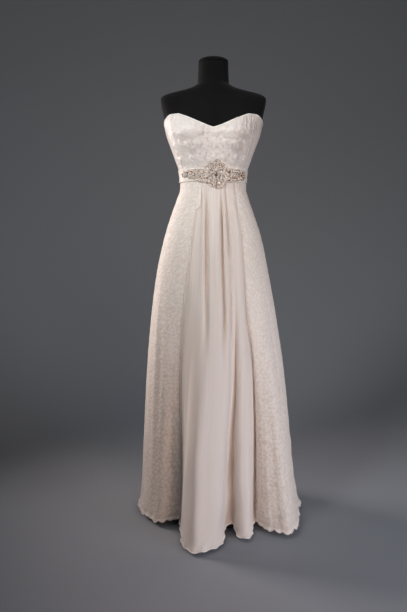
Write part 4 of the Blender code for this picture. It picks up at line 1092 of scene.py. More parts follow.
def skirt_section(z):
    """Left, right, front and back reach and the oval's exponent, without the folds."""
    lift = BODICE_LIFT + SKIRT_WALL / 2
    near = [torso_value(name, np.maximum(z, WAIST_LEVEL_Z)) * CM + lift
            for name in ("half_width", "half_width", "front", "back")]
    free = [smooth(SKIRT["z"], SKIRT[name], z) * CM for name in ("left", "right", "front", "back")]
    fall = 1.0 - ease(z, SKIRT_FREE_Z, SKIRT_LEAVES_TORSO_Z)
    reach = [a + (b - a) * fall for a, b in zip(near, free)]
    return reach, HEM_SQUARE + (HIP_SQUARE - HEM_SQUARE) * ease(z, HEM_SQUARE_Z, HIP_SQUARE_Z)


def front_depth(x, z):
    """How far the plain skirt's front lies before the middle plane at x."""
    (left, right, front, _), square = skirt_section(z)
    return front * (1.0 - np.abs(x / np.where(x > 0, right, left)) ** square) ** (1.0 / square)


print("hem half widths", SKIRT["left"][-1], SKIRT["right"][-1], "cm")

# %% [markdown]
# The tables hold the folds. The front's two deep folds are corners, ridges and grooves in
# centimetres, because there the eye compares them. The sides and the back are plain waves round
# the oval, so turns and a reach are enough.

# %% Fold lines
GATHERS_START_Z = 1.266
GATHERS_FULL_Z = 1.130
GATHERS_FADE_Z = 0.850
GATHERS_END_Z = 0.500
FOLD_HEIGHTS = read_table("""
    waist hip thigh knee shin hem
    1.300 1.030 0.800 0.570 0.300 0.010
""")
FRONT_FOLDS = read_table("""
    name waist hip thigh knee shin hem hip_out hem_front hem_z
    seam_left     -4.6 -8.5 -11.3 -12.1 -11.6 -12.4    0 12.3 0.026
    left_panel    -3.7 -6.1  -7.8  -9.6 -10.5 -11.4  0.7   21 0.016
    fold_1_corner -2.9 -3.7  -4.2  -6.8  -8.9   -10  0.8 29.5 0.012
    groove_1      -2.3 -2.6  -2.6  -3.5  -5.9  -6.7  0.1 33.2 0.011
    ridge_1_left  -1.7 -1.4  -1.3  -1.2    -3  -3.9    1 32.6 0.011
    ridge_1_right    2    2   2.5   1.8   0.2  -0.7    1   31 0.011
    groove_2       2.7  3.1   3.7   3.4     2   1.2 -0.4 29.6 0.011
    ridge_2        3.5  4.3   5.2   5.1   3.7   2.8  0.7 26.3 0.012
    groove_3       4.3  5.7   6.3   6.4   4.7   3.9 -0.1   20 0.028
    ridge_3        4.8  6.6   7.1   7.3   5.7   5.3  0.6 17.4 0.034
    groove_4       5.3  7.6   7.9     8     7   7.4  0.5 16.2 0.034
    fold_2_corner  5.7  8.5     9   9.1   8.8   9.2 0.65 22.2 0.012
    fold_2_nose    6.1  9.2  10.1  10.9  10.7  11.4  0.7 23.4 0.011
    fold_2_flank   6.5  9.9    11  12.2  12.4  13.2  0.4   22 0.012
    seam_right     6.9 10.6  12.1  14.6  15.5  15.4    0 11.2 0.026
""")
RIGHT_FOLDS = read_table("""
    name waist_turn hem_turn hem_reach hem_z
    right_valley  39 27.6 1.17 0.016
    corner_rise   45 29.8  1.4 0.014
    corner_nose   52 32.5 1.52 0.012
    corner_fall   60 42.5 1.36 0.016
    right_front   72   60 1.12 0.016
    right_side    89   86    1 0.014
    back_right_1 104  103 1.05  0.01
    back_right_2 119  119 0.93 0.018
    back_right_3 134  133 1.06  0.01
    back_right_4 149  149 0.94 0.018
    back_right_5 164  165 1.05  0.01
""")
LEFT_FOLDS = read_table("""
    name waist_turn hem_turn hem_reach hem_z
    back_left_5 -166 -164 1.06  0.01
    back_left_4 -151 -150 0.95 0.018
    back_left_3 -136 -136 1.04  0.01
    back_left_2 -121 -122 0.94 0.018
    back_left_1 -106 -106 1.04  0.01
    left_side    -88  -90    1 0.014
    left_front   -66  -67 0.97 0.014
    left_swell   -47  -46 1.02 0.012
    left_valley  -33  -39 0.89 0.018
""")
BACK_SEAM = {"name": "back_seam", "waist_turn": 180.0, "hem_turn": 180.0, "hem_reach": 0.95,
             "hem_z": 0.018}
FOLDS_START_Z = 0.950
FOLD_POWER = 1.15


def fold_share(z):
    """How much of a hem fold is there at a height."""
    down = (FOLDS_START_Z - z) / (FOLDS_START_Z - HEM_LEVEL_Z)
    return np.clip(down, 0.0, 1.0) ** FOLD_POWER


def front_fold_point(fold, z):
    """The points of a front fold line at these heights."""
    heights = [float(FOLD_HEIGHTS[level][0]) for level in FOLD_HEIGHTS]
    x = smooth(heights, [fold[level] for level in FOLD_HEIGHTS], z) * CM
    gathered = np.clip((GATHERS_START_Z - z) / (GATHERS_START_Z - GATHERS_FULL_Z), 0.0, 1.0)
    depth = front_depth(x, z)
    depth += fold["hip_out"] * CM * gathered * ease(z, GATHERS_END_Z, GATHERS_FADE_Z)
    hem_forward = fold["hem_front"] * CM - front_depth(fold["hem"] * CM, HEM_LEVEL_Z)
    return np.stack((x, -(depth + hem_forward * fold_share(z)), z), axis=-1)


def side_fold_point(fold, z):
    """The points of a side or back fold line at these heights."""
    down = (WAIST_SEAM_Z - z) / WAIST_SEAM_Z
    turn = fold["waist_turn"] + (fold["hem_turn"] - fold["waist_turn"]) * down
    (left, right, front, back), square = skirt_section(z)
    x, y = oval(turn, np.where(turn > 0, right, left), front, back, square)
    reach = 1.0 + (fold["hem_reach"] - 1.0) * fold_share(z)
    return np.stack((x * reach, y * reach, z), axis=-1)


fold_lines = [(BACK_SEAM, side_fold_point)]
for table, place in ((LEFT_FOLDS, side_fold_point), (FRONT_FOLDS, front_fold_point),
                     (RIGHT_FOLDS, side_fold_point)):
    fold_lines += [(fold, place) for fold in rows_of(table)]
print("fold lines", len(fold_lines))

# %% [markdown]
# Between the lines the cloth is round, not kinked. A curve through four lines at a time, spaced by
# the root of their distance, gives that and never loops, even where two lines nearly touch.

# %% Skirt surface
SKIRT_TOP_Z = 1.2997
SKIRT_CELL = 6.5 * MM
SKIRT_ROWS = 160
HEM_BORDER = 16.0 * MM


def round_curve(before, start, end, after, shares):
    """Curves from start to end, row by row, read at shares of the way."""
    points = [place[:, None, :] for place in (before, start, end, after)]
    knots = [np.zeros(len(start))]
    for a, b in zip(points, points[1:]):
        knots.append(knots[-1] + np.linalg.norm(b - a, axis=2)[:, 0] ** 0.5)
    t = knots[1][:, None] + (knots[2] - knots[1])[:, None] * shares[None, :]

    def between(first, second, low, high):
        share = ((t - low[:, None]) / (high - low)[:, None])[..., None]
        return first * (1.0 - share) + second * share

    sides = [between(points[i], points[i + 1], knots[i], knots[i + 1]) for i in range(3)]
    halves = [between(sides[i], sides[i + 1], knots[i], knots[i + 2]) for i in range(2)]
    return between(halves[0], halves[1], knots[1], knots[2])


border_share = 1.0 - HEM_BORDER / SKIRT_TOP_Z
row_shares = np.append(np.linspace(0.0, border_share, SKIRT_ROWS), (1.0 + border_share) / 2)
row_shares = np.append(row_shares, 1.0)
line_points = []
for fold, place in fold_lines:
    line_points.append(place(fold, SKIRT_TOP_Z + (fold["hem_z"] - SKIRT_TOP_Z) * row_shares))
pieces = []
line_column = {}
for k, (fold, place) in enumerate(fold_lines):
    near = [line_points[(k + step) % len(line_points)] for step in (-1, 0, 1, 2)]
    count = max(4, math.ceil(np.linalg.norm(near[2][-1] - near[1][-1]) / SKIRT_CELL))
    line_column[fold["name"]] = sum(piece.shape[1] for piece in pieces)
    pieces.append(round_curve(*near, np.arange(count) / count))
skirt_surface = np.concatenate(pieces + [pieces[0][:, :1]], axis=1)
print("skirt surface", skirt_surface.shape, "hem", line_length(skirt_surface[-1]), "m round")

# %% [markdown]
# The main folds are in the lines above. The smaller creases lie beside them, as soft troughs and
# ridges with their own place, width, depth and length, because a real skirt never repeats itself.
# Each is measured from a fold line, so it follows the fold on its way down.

# %% Creases
CREASES = read_table("""
    line beside_high beside_low width depth high_z low_z
    groove_1        1   0   6 -3.8 1.292  0.7
    groove_1       -8 -16   6  1.6 1.285 0.85
    groove_1      -17 -30   6 -1.8 1.285 0.85
    left_panel      0   4   8   -2  1.28 0.85
    left_panel     -9 -20   6  1.4  1.26 0.85
    ridge_1_left    9  12   5   -1 1.285  0.7
    ridge_1_left   24  32   5   -1 1.285  0.8
    groove_2        0   0 5.8   -4 1.292 0.64
    groove_2        8  10   4  1.8 1.285  0.7
    groove_3       -1  -3 5.4 -3.4  1.29 0.98
    ridge_3         3  12   7  1.2  1.25 0.75
    groove_4        0   0   6   -2   0.8  0.1
    groove_4      -16 -26   6  1.2   0.7 -0.1
    groove_4       14  24   6 -1.2   0.7 -0.1
    fold_2_nose     0   0   5 -2.4   0.9    0
    seam_right    -10 -20   9  2.4  0.95 -0.2
    seam_right    -30 -64   8 -1.6   0.8 -0.2
    left_panel     12  20  12   -2  0.75 -0.3
    fold_1_corner  26  44  16  1.6  0.64 -0.3
    groove_1       30  50  16 -1.4   0.5 -0.3
    left_valley     0   0  16   -4  0.52 -0.2
    left_valley    40  60  14    3   0.7 -0.2
    left_swell    -20 -30  18 -3.5   0.8 -0.3
    left_front     10  40  16    3  0.95 0.05
    left_front    -40 -60  18   -3   0.7 -0.3
    right_valley    0   0   9   -3  0.56 -0.2
    right_valley   26  34   7    2  0.52 -0.2
    corner_rise    12  14   7 -2.2  0.52 -0.2
    corner_nose     0   0   6  2.2  0.48 -0.2
    corner_nose    20  26   6 -2.2   0.5 -0.2
    corner_fall     0   0   8  2.4  0.56 -0.2
    right_front   -30 -60  14 -3.5   0.9 -0.2
    right_side     30  60  22  3.5  0.85 -0.3
    right_side    -60 -90  16   -3  0.65 -0.3
    back_right_2   10  30  15   -4     1 -0.2
    back_right_3   20  30  12    3   0.7 -0.3
    back_right_5  -20 -36  14   -3   1.1 -0.2
    back_left_5    24  40  15 -3.5   0.9 -0.3
    back_left_4     0  10  12   -3  1.15 -0.2
    back_left_3   -20 -30  16    3  0.75 -0.3
    back_left_1    10  50  18 -3.5  0.95 -0.2
""")
CREASE_FADE = 0.22
CREASE_HIGH_SHARE = 0.6
CREASE_WIDENING = 0.8


def crease_heights(surface):
    """How far each point of the surface is raised or sunk by the creases."""
    across = flat_places(surface)[..., 0]
    raised = np.zeros(across.shape)
    for row in rows_of(CREASES):
        column = line_column[row["line"]]
        z = surface[:, column, 2]
        length = row["high_z"] - row["low_z"]
        down = np.clip((row["high_z"] - z) / length, 0.0, 1.0)
        beside = row["beside_high"] + (row["beside_low"] - row["beside_high"]) * down
        fade = ease(down, 0.0, CREASE_FADE) * (1.0 - ease(down, 1.0 - CREASE_FADE, 1.0))
        middle = across[:, column] + beside * MM
        width = row["width"] * MM * (CREASE_HIGH_SHARE + CREASE_WIDENING * down)
        raised += row["depth"] * MM * fade[:, None] * mound(across, middle[:, None],
                                                            width[:, None])
    return raised


crease_height = crease_heights(skirt_surface)
print("creases", len(CREASES["line"]), "deepest", round(float(-crease_height.min() / MM), 1), "mm")

# %% [markdown]
# Under the belt the chiffon is gathered into small uneven pleats, which follow the columns of the
# cloth and fade over the hips. The fitted lace has only a hint of them. At the hem nothing holds
# the cloth, so it waves slowly, and the last centimetres of the lace frill like a lettuce leaf.

# %% Gathers under the belt and a frilled hem
GATHER_SEED = 7
GATHER_COUNT = 230
GATHERS_ON_LACE = 0.3
GATHER_JITTER = 0.35
GATHER_DEPTHS_MM = (0.1, 0.7)
GATHER_WIDTHS = (0.0016, 0.0034)
GATHER_ENDS_Z = (0.86, 1.17)
GATHER_FULL_Z = 1.24
BELT_PRESS_Z = (1.268, 1.295)
HEM_RIPPLE = 2.2 * MM
LACE_FRILL = 2.4 * MM
CHIFFON_FRILL = 2.0 * MM
FRILL_PITCH = 38.0 * MM
FRILL_SWAY = 1.8
FRILL_SWAY_RATE = 9.0
FRILL_HIGH_Z = 0.060
HEM_FLARE = 2.0 * MM
HEM_WAVE = 3.0 * MM
SLOW_PITCH = 110.0 * MM
SLOW_START = 1.3
SLOW_WAVES_Z = (0.02, 0.55)
SECOND_WAVE = 0.6
SECOND_RATE = 41.0
SECOND_START = 0.4
HEM_CURL = 5.0 * MM
HEM_CURL_ROWS = 3
CURL_MEAN = 0.8
CURL_SWING = 0.4
FRILL_BLEND = 8


def on_chiffon(surface):
    """1 on the columns of the chiffon panel and 0 on the lace, with a soft change between."""
    column = np.arange(surface.shape[1])
    first, last = line_column["seam_left"], line_column["seam_right"]
    return ease(column, first - FRILL_BLEND, first) * (1.0 - ease(column, last,
                                                                   last + FRILL_BLEND))


def gather_heights(surface):
    """Small uneven gathers that are pressed flat by the belt and fade out over the hips."""
    random = np.random.default_rng(GATHER_SEED)
    share = np.linspace(0.0, 1.0, surface.shape[1])[None, :]
    z = surface[..., 2]
    raised = np.zeros(z.shape)
    for k in range(GATHER_COUNT):
        middle = (k + random.uniform(-GATHER_JITTER, GATHER_JITTER)) / GATHER_COUNT
        depth = random.uniform(*GATHER_DEPTHS_MM) * MM
        width = random.uniform(*GATHER_WIDTHS)
        low = random.uniform(*GATHER_ENDS_Z)
        fade = ease(z, low, GATHER_FULL_Z) * (1.0 - ease(z, *BELT_PRESS_Z))
        raised += depth * fade * mound(share, middle, width)
    raised -= raised.mean(axis=1, keepdims=True)
    return raised * (GATHERS_ON_LACE + (1.0 - GATHERS_ON_LACE) * on_chiffon(surface))


def frill_phase(across):
    """Where each place stands in the hem's uneven small waves, in radians."""
    return across * 2 * math.pi / FRILL_PITCH + FRILL_SWAY * np.sin(across * FRILL_SWAY_RATE)


def ripple_heights(surface):
    """Slow waves that grow toward the hem, and a frill along it."""
    across = flat_places(surface)[..., 0]
    z = surface[..., 2]
    slow = np.sin(across * 2 * math.pi / SLOW_PITCH + SLOW_START)
    slow = slow + SECOND_WAVE * np.sin(across * SECOND_RATE + SECOND_START)
    quick = np.sin(frill_phase(across))
    frill = LACE_FRILL + (CHIFFON_FRILL - LACE_FRILL) * on_chiffon(surface)
    near_hem = 1.0 - ease(z, 0.0, FRILL_HIGH_Z)
    curl = np.clip((np.arange(len(surface)) - len(surface) + HEM_CURL_ROWS) / HEM_CURL_ROWS, 0, 1)
    curl = HEM_CURL * curl[:, None] ** 2 * on_chiffon(surface) * (CURL_MEAN + CURL_SWING * quick)
    ripple = HEM_RIPPLE * (1.0 - ease(z, *SLOW_WAVES_Z)) * slow / (1.0 + SECOND_WAVE)
    return ripple + near_hem * (frill * quick + HEM_FLARE) + curl


def hem_wave(surface):
    """How far the hem rises in small uneven waves."""
    across = flat_places(surface)[..., 0]
    wave = 1.0 + np.sin(frill_phase(across) + 1.0)
    return HEM_WAVE * wave * (1.0 - ease(surface[..., 2], 0.0, FRILL_HIGH_Z))


def closed_normals(surface):
    """Normals of a surface whose first and last columns are the same line."""
    wrapped = np.concatenate((surface[:, -2:-1], surface, surface[:, 1:2]), axis=1)
    return grid_normals(wrapped)[:, 1:-1]


lift = crease_height + gather_heights(skirt_surface) + ripple_heights(skirt_surface)
skirt_outer = skirt_surface + closed_normals(skirt_surface) * (lift + SKIRT_WALL / 2)[..., None]
skirt_outer[..., 2] = skirt_surface[..., 2] + hem_wave(skirt_surface)
print("lift from", round(float(lift.min()), 4), "to", round(float(lift.max()), 4), "m")

# %% [markdown]
# Now the surface is cut at its three seams into the chiffon and the two lace panels. Each edge is
# drawn in and back a little, so that every panel is a cloth of its own with a seam beside it.

# %% Skirt panels
ZIP_END_Z = 1.120
ZIP_GAP_FADE = 40.0 * MM
SEAM_SPREAD = 6.0 * MM
SKIRT_SEAM_DEPTH = 1.0 * MM
SKIRT_SEAM_REACH = 3.0 * MM


def seam_gap(z):
    """Half the gap of a plain seam."""
    return np.full(z.shape, SEAM_GAP / 2)


def back_gap(z):
    """Half the gap at centre back, wide enough for the zip and then a plain seam."""
    return SEAM_GAP / 2 + (ZIP_HALF_GAP - SEAM_GAP / 2) * ease(z, ZIP_END_Z - ZIP_GAP_FADE,
                                                                ZIP_END_Z)


def open_edges(grid, left_gap, right_gap):
    """Draw a panel's side edges in from its seams, and ease the cloth beside them."""
    across = flat_places(grid)[..., 0]
    from_right = across[:, -1:] - across
    along = np.gradient(grid, axis=1)
    along /= np.linalg.norm(along, axis=2, keepdims=True)
    z = grid[..., 2]
    shift = left_gap(z) * np.exp(-across / SEAM_SPREAD)
    shift -= right_gap(z) * np.exp(-from_right / SEAM_SPREAD)
    return grid + along * shift[..., None]


def skirt_grid(first, last, left_gap, right_gap):
    """Columns of the skirt from one seam to the next, with the seams drawn in."""
    grid = seam_pull(skirt_outer[:, first:last + 1], SKIRT_SEAM_DEPTH, SKIRT_SEAM_REACH)
    return open_edges(grid, left_gap, right_gap)


CLOTH_WALL = 1.2 * MM
seam_left, seam_right = line_column["seam_left"], line_column["seam_right"]
last_column = skirt_outer.shape[1] - 1
chiffon_grid = skirt_grid(seam_left, seam_right, seam_gap, seam_gap)
lace_left_grid = skirt_grid(0, seam_left, back_gap, seam_gap)
lace_right_grid = skirt_grid(seam_right, last_column, seam_gap, back_gap)
skirt = {}
for name, grid, finish, slot, node in (
        ("chiffon_front", chiffon_grid, chiffon, "chiffon", "chiffon_front_panel"),
        ("corded_lace_left", lace_left_grid[:-2], lace, "lace", "lace_panel_left"),
        ("corded_lace_right", lace_right_grid[:-2], lace, "lace", "lace_panel_right")):
    skirt[name] = hang_cloth(name, grid, CLOTH_WALL, finish)
    belongs(skirt[name], slot, node)
chiffon_cloth, lace_left_cloth, lace_right_cloth = (
    Cloth(grid) for grid in (chiffon_grid, lace_left_grid, lace_right_grid))
print("skirt panels", list(skirt))

# %% [markdown]
# The lace ends in scallops. At the hem they hang free as a border. Along the front seams they lie
# on the chiffon like overlapping leaves, large at the hips and small below, and their tips curl
# off it a little. Both are read off the hung cloth, so they follow every fold. A heavier cord
# outlines them, as it does on real corded lace.

# %% Scalloped borders
HEM_SCALLOP = 30.0 * MM
HEM_SCALLOP_DEPTH = 7.0 * MM
HEM_SWING = 3.0 * MM
HEM_SWING_PITCH = 0.17
SCALLOP_POWER = 0.7
LIE_GAP = 0.5 * MM
TRIM_WALL = 1.1 * MM
BORDER_CORD = 1.0 * MM
BORDER_STEP = 2.5 * MM
BORDER_FLARE = 2.5 * MM
BORDER_ROWS = 6


def strip_with_cord(name, grid, outline):
    """A narrow lace trim and the cord along its scallops."""
    strip = hang_cloth(name, grid, TRIM_WALL, lace_trim)
    return strip, cord_along(name + "_cord", outline, BORDER_CORD, lace_cord, sides=6)


def hem_border(name, cloth):
    """A scalloped border from the lace panel's lower edge down to the floor, and its cord."""
    low = cloth.drops[-1]
    high = cloth.drops[-3] + SEAM_GAP
    width = cloth.widths[-1]
    pitch = width / round(width / HEM_SCALLOP)
    shares = np.linspace(0.0, 1.0, round(width / BORDER_STEP))[None, :]
    scallop = np.abs(np.sin(math.pi * shares * width / pitch)) ** SCALLOP_POWER
    swing = HEM_SWING * np.sin(shares * width * 2 * math.pi / HEM_SWING_PITCH) ** 2
    rise = HEM_SCALLOP_DEPTH * (1.0 - scallop) + swing
    reach = np.linspace(0.0, 1.0, BORDER_ROWS)[:, None]
    down = high + (low - rise - high) * reach
    grid = cloth.at(shares * cloth.width(down), down, BORDER_FLARE * reach ** 2)
    return strip_with_cord(name, grid, grid[-1])


EDGE = read_table("""
    down leaves width depth
        0  0 17 15
    0.127  1 17 15
    0.129  1  8  6
    0.235  2  9  7
    0.325  3  9  7
     0.41  4  9  7
      1.5 20  9  6
""")
EDGE_START = 24.0 * MM
LEAF_TIP = 0.9
EDGE_COLUMNS = 7
EDGE_SEAT = LIE_GAP + TRIM_WALL - 0.3 * MM
EDGE_CURL = 2.6 * MM


def edge_value(name, down):
    """One column of the front edge's table at any distance down the seam."""
    return np.interp(down, EDGE["down"], EDGE[name])


def front_edge(name, side):
    """A leafy strip on the chiffon along one seam; side is 1 at the left seam, -1 right."""
    down = np.arange(EDGE_START, chiffon_cloth.drops[-1], BORDER_STEP)[:, None]
    share = edge_value("leaves", down) % 1.0
    leaf = np.minimum(share / LEAF_TIP, (1.0 - share) / (1.0 - LEAF_TIP)) ** SCALLOP_POWER
    reach = (edge_value("width", down) - edge_value("depth", down) * (1.0 - leaf)) * MM
    outward = np.linspace(0.0, 1.0, EDGE_COLUMNS)[None, :]
    inset = reach * outward + SEAM_GAP
    across = inset if side > 0 else chiffon_cloth.width(down) - inset[:, ::-1]
    curl = EDGE_CURL * leaf * (outward if side > 0 else outward[:, ::-1]) ** 2
    grid = chiffon_cloth.at(across, down, EDGE_SEAT + curl)
    return strip_with_cord(name, grid, grid[:, -1 if side > 0 else 0])


trims = {}
for name, cloth, node in (("lace_border_left", lace_left_cloth, "lace_hem_left"),
                          ("lace_border_right", lace_right_cloth, "lace_hem_right")):
    trims[node] = hem_border(name, cloth)
for name, side, node in (("lace_scallops_left", 1.0, "lace_edge_left"),
                         ("lace_scallops_right", -1.0, "lace_edge_right")):
    trims[node] = front_edge(name, side)
for node, (strip, cord) in trims.items():
    belongs(strip, "lace_trim", node)
    belongs(cord, "lace_trim")
print("scalloped trims", list(trims))

# %% [markdown]
# The chiffon's hem is rolled between the fingers and whipped, which leaves a narrow round edge.

# %% Rolled hem
HEM_ROLL = 2.4 * MM
HEM_POINTS = 420

hem_share = np.linspace(0.0, 1.0, HEM_POINTS)
hem_line = chiffon_cloth.at(hem_share * chiffon_cloth.widths[-1], chiffon_cloth.drops[-1],
                            -CLOTH_WALL / 2)
rolled_hem = cord_along("chiffon_rolled_hem", hem_line, HEM_ROLL, piping_satin)
belongs(rolled_hem, "chiffon")
print("rolled hem", line_length(hem_line), "m")

# %% [markdown]
# Small repeated shapes are modelled once and sown by the hundred. Separate objects would make the
# file heavy, so the copies are placed with arrays and joined into one mesh. A shape is drawn flat,
# and each of its points is then read off the surface that it lies on, which bends it over folds.

# %% Sowing small shapes
SOW_SEED = 11
ROW_CROWDING = 0.87
UNEVEN = 0.2


def template_of(piece):
    """The points and triangles of a modelled shape, which is then removed."""
    select_only(piece)
    bpy.ops.object.mode_set(mode="EDIT")
    bpy.ops.mesh.select_all(action="SELECT")
    bpy.ops.mesh.quads_convert_to_tris()
    bpy.ops.object.mode_set(mode="OBJECT")
    faces = np.array([tuple(face.vertices) for face in piece.data.polygons])
    points = read_points(piece)
    bpy.data.meshes.remove(piece.data)
    return points, faces


def sow(surface, template, across, down, turn, size, lift):
    """Copies of a template at these places, turns in radians and sizes on a surface."""
    points, faces = template
    c, s = np.cos(turn)[:, None], np.sin(turn)[:, None]
    x, y, z = (points[:, axis][None, :] * np.asarray(size)[:, None] for axis in range(3))
    lift = np.broadcast_to(lift, across.shape)[:, None]
    placed = surface(across[:, None] + x * c - y * s, down[:, None] - (x * s + y * c), lift + z)
    return placed, faces


def join_copies(name, parts, finish, degrees=60.0):
    """One mesh from placed copies of templates."""
    points, faces, start = [], [], 0
    for placed, triangles in parts:
        count, size = placed.shape[:2]
        offsets = start + size * np.arange(count)
        points.append(placed.reshape(-1, 3))
        faces.append((triangles[None] + offsets[:, None, None]).reshape(-1, 3))
        start += count * size
    mesh = bpy.data.meshes.new(name)
    mesh.from_pydata(np.concatenate(points).tolist(), [], np.concatenate(faces).tolist())
    mesh.update()
    piece = bpy.data.objects.new(name, mesh)
    bpy.context.scene.collection.objects.link(piece)
    return give_finish(piece, finish, degrees)


def scatter(cloth, spacing, margin, high, low, random):
    """Uneven places on a cloth, about spacing apart and margin away from its side edges."""
    across, down = [], []
    for k, level in enumerate(np.arange(high, low, spacing * ROW_CROWDING)):
        line = np.arange(margin + (k % 2) * spacing / 2, cloth.width(level) - margin, spacing)
        across.append(line + random.uniform(-UNEVEN, UNEVEN, len(line)) * spacing)
        down.append(level + random.uniform(-UNEVEN, UNEVEN, len(line)) * spacing)
    return np.concatenate(across), np.concatenate(down)


print("seed", SOW_SEED)

# %% [markdown]
# The lace's pattern is made of two plain shapes that any garden gives: a flower with five petals
# and three leaves on a stalk. A disc or a grid has the few triangles that such a small thing needs,
# and bending its points gives the petals' notches and the leaf's raised vein.

# %% Lace flowers and leaves
PETALS = 5
FLOWER_RADIUS = 8.6 * MM
LEAF_LENGTH = 13.0 * MM
MOTIF_RISE = 0.6 * MM
RIM_SINK = 0.2
PETAL_NOTCH = 0.38
LEAF_WIDTH = 0.36
LEAF_POINT = 0.8
LACE_SPACING = 18.0 * MM


def flower_template():
    """A five-petalled flower: a fan of triangles with an inset ring, bent into petals."""
    flower = add_piece(bpy.ops.mesh.primitive_circle_add, "flower", vertices=3 * PETALS,
                       radius=1.0, fill_type="TRIFAN")
    bpy.ops.object.mode_set(mode="EDIT")
    bpy.ops.mesh.select_all(action="SELECT")
    bpy.ops.mesh.inset(thickness=0.3)
    bpy.ops.object.mode_set(mode="OBJECT")
    points = read_points(flower)
    radius = np.hypot(points[:, 0], points[:, 1])
    turn = np.arctan2(points[:, 1], points[:, 0])
    petal = 1.0 - PETAL_NOTCH + PETAL_NOTCH * np.abs(np.cos(PETALS * turn / 2))
    points[:, :2] *= (FLOWER_RADIUS * petal)[:, None]
    points[:, 2] = np.where(radius > 0.8, -RIM_SINK, radius > 0.2) * MOTIF_RISE
    place_points(flower, points)
    return template_of(flower)


def leaf_template():
    """One pointed leaf with a raised vein, its stalk at the origin."""
    leaf = add_piece(bpy.ops.mesh.primitive_grid_add, "leaf", x_subdivisions=2,
                     y_subdivisions=4, size=1.0)
    points = read_points(leaf)
    along = points[:, 1] + 0.5
    width = LEAF_WIDTH * np.sin(math.pi * np.clip(along * 0.96 + 0.02, 0.0, 1.0)) ** LEAF_POINT
    height = np.where(np.abs(points[:, 0]) < 0.1, 1.0, -RIM_SINK) * MOTIF_RISE
    place_points(leaf, np.column_stack((points[:, 0] * width * LEAF_LENGTH,
                                        along * LEAF_LENGTH, height)))
    return template_of(leaf)


def leaf_spray(leaf):
    """Three leaves on one stalk."""
    points, faces = leaf
    sprays = []
    for lean, size in ((0.0, 1.0), (1.05, 0.8), (-1.05, 0.8)):
        c, s = math.cos(lean) * size, math.sin(lean) * size
        sprays.append(np.column_stack((points[:, 0] * c - points[:, 1] * s,
                                       points[:, 0] * s + points[:, 1] * c, points[:, 2])))
    return np.concatenate(sprays), np.concatenate([faces + k * len(points) for k in range(3)])


flower = flower_template()
leaf = leaf_template()
spray = leaf_spray(leaf)
print("flower", len(flower[1]), "triangles, leaf spray", len(spray[1]))

# %% [markdown]
# They are sown over each lace panel in uneven rows, a little more than half of them flowers, each
# with its own turn and size. Real lace repeats every few centimetres, but its repeat is hard to
# see on a gathered skirt, so plain scattering reads as well and needs no drawing of a repeat.

# %% Corded motifs on the lace
MOTIF_LIFT = 0.15 * MM
MOTIF_FROM = 0.030
MOTIF_MARGIN = 10.0 * MM
FLOWER_SHARE = 0.55
MOTIF_SIZES = (0.7, 1.15)


def lace_motifs(name, cloth, seed):
    """Flowers and leaf sprays all over a lace panel."""
    random = np.random.default_rng(seed)
    across, down = scatter(cloth, LACE_SPACING, MOTIF_MARGIN, MOTIF_FROM,
                           cloth.drops[-3] - MOTIF_MARGIN, random)
    turn = random.uniform(0.0, 2 * math.pi, len(across))
    size = random.uniform(*MOTIF_SIZES, len(across))
    is_flower = random.random(len(across)) < FLOWER_SHARE
    parts = []
    for template, chosen in ((flower, is_flower), (spray, ~is_flower)):
        parts.append(sow(cloth.at, template, across[chosen], down[chosen], turn[chosen],
                         size[chosen], MOTIF_LIFT))
    piece = join_copies(name, parts, lace_cord)
    belongs(piece, "lace")
    return piece


motifs_left = lace_motifs("lace_motifs_left", lace_left_cloth, SOW_SEED)
motifs_right = lace_motifs("lace_motifs_right", lace_right_cloth, SOW_SEED + 1)
print("motif triangles", len(motifs_left.data.polygons), len(motifs_right.data.polygons))

# %% [markdown]
# Under the bust the satin is embroidered with leafy sprigs in a silver-grey floss. A sprig is a
# bent stem with leaves on both sides, drawn by a table of where it starts, which way it leans, how
# long it is and how far it bends. The sprigs are a plain garland, a little uneven as handwork is.

# %% Embroidered sprigs on the bodice
SPRIGS = read_table("""
    x z lean length bend
     0.6 138.9  -50 1.6  70
    -0.4 139.2   40 1.7 -80
     1.6 140.6  -70 1.5  90
    -1.4 140.9   72 1.6 -86
     3.6 141.4 -110 1.6 -80
    -3.2 141.3  108 1.5  82
     0.2 137.9  190 1.4  84
     2.6   138 -100 1.6 -70
    -1.9 137.9  110 1.5  74
     4.4 138.8  -60 1.5  84
    -3.9 138.6   66 1.5 -86
      -3 136.4  160 1.3  64
     1.9 136.3 -170 1.3  60
     5.9 140.8 -140 1.5 -60
     4.2 136.5  -60 1.3 -76
    -5.4 140.6  150 1.4  60
    -5.6 138.2  100 1.3 -60
     6.2 138.4  -90 1.4  60
    -6.6 142.2  130 1.3 -70
     7.2 142.2 -120 1.3  70
       1 142.3   20 1.2 -90
    -0.6 135.4  120 1.1  70
""")
SPRIG_FLOWERS = read_table("""
    x z
     0.7 139.8
    -1.9 139.7
     3.2 139.6
    -4.2 140.2
     5.2   140
    -0.8 137.2
     3.6 137.4
     7.4 139.6
    -2.4 142.3
     2.4 142.2
    -4.6 137.2
     0.8 136.4
     5.6 142.2
      -7 140.2
     5.4 136.9
""")
STEM_RADIUS = 0.4 * MM
STEM_POINTS = 24
SPRIG_LEAF_STEP = 4.4 * MM
SPRIG_LEAF_SIZE = 0.54
SPRIG_LEAF_LEAN = 0.8
SPRIG_FLOWER_SIZE = 0.5


def turn_at(x, z, lift):
    """The turn at which the torso's front, moved out by lift, has this x."""
    share = np.clip(x / (torso_value("half_width", z) * CM + lift), -1.0, 1.0)
    return np.degrees(np.arcsin(np.sign(share) * np.abs(share) ** (torso_value("square", z) / 2)))


def bodice_face(x, down, lift):
    """Points on the bodice's front at x metres to the right and down metres under its top."""
    z = NECK_TOP_Z - down
    return bodice_point(turn_at(x, z, BODICE_LIFT + BODICE_WALL), z, BODICE_WALL + lift)


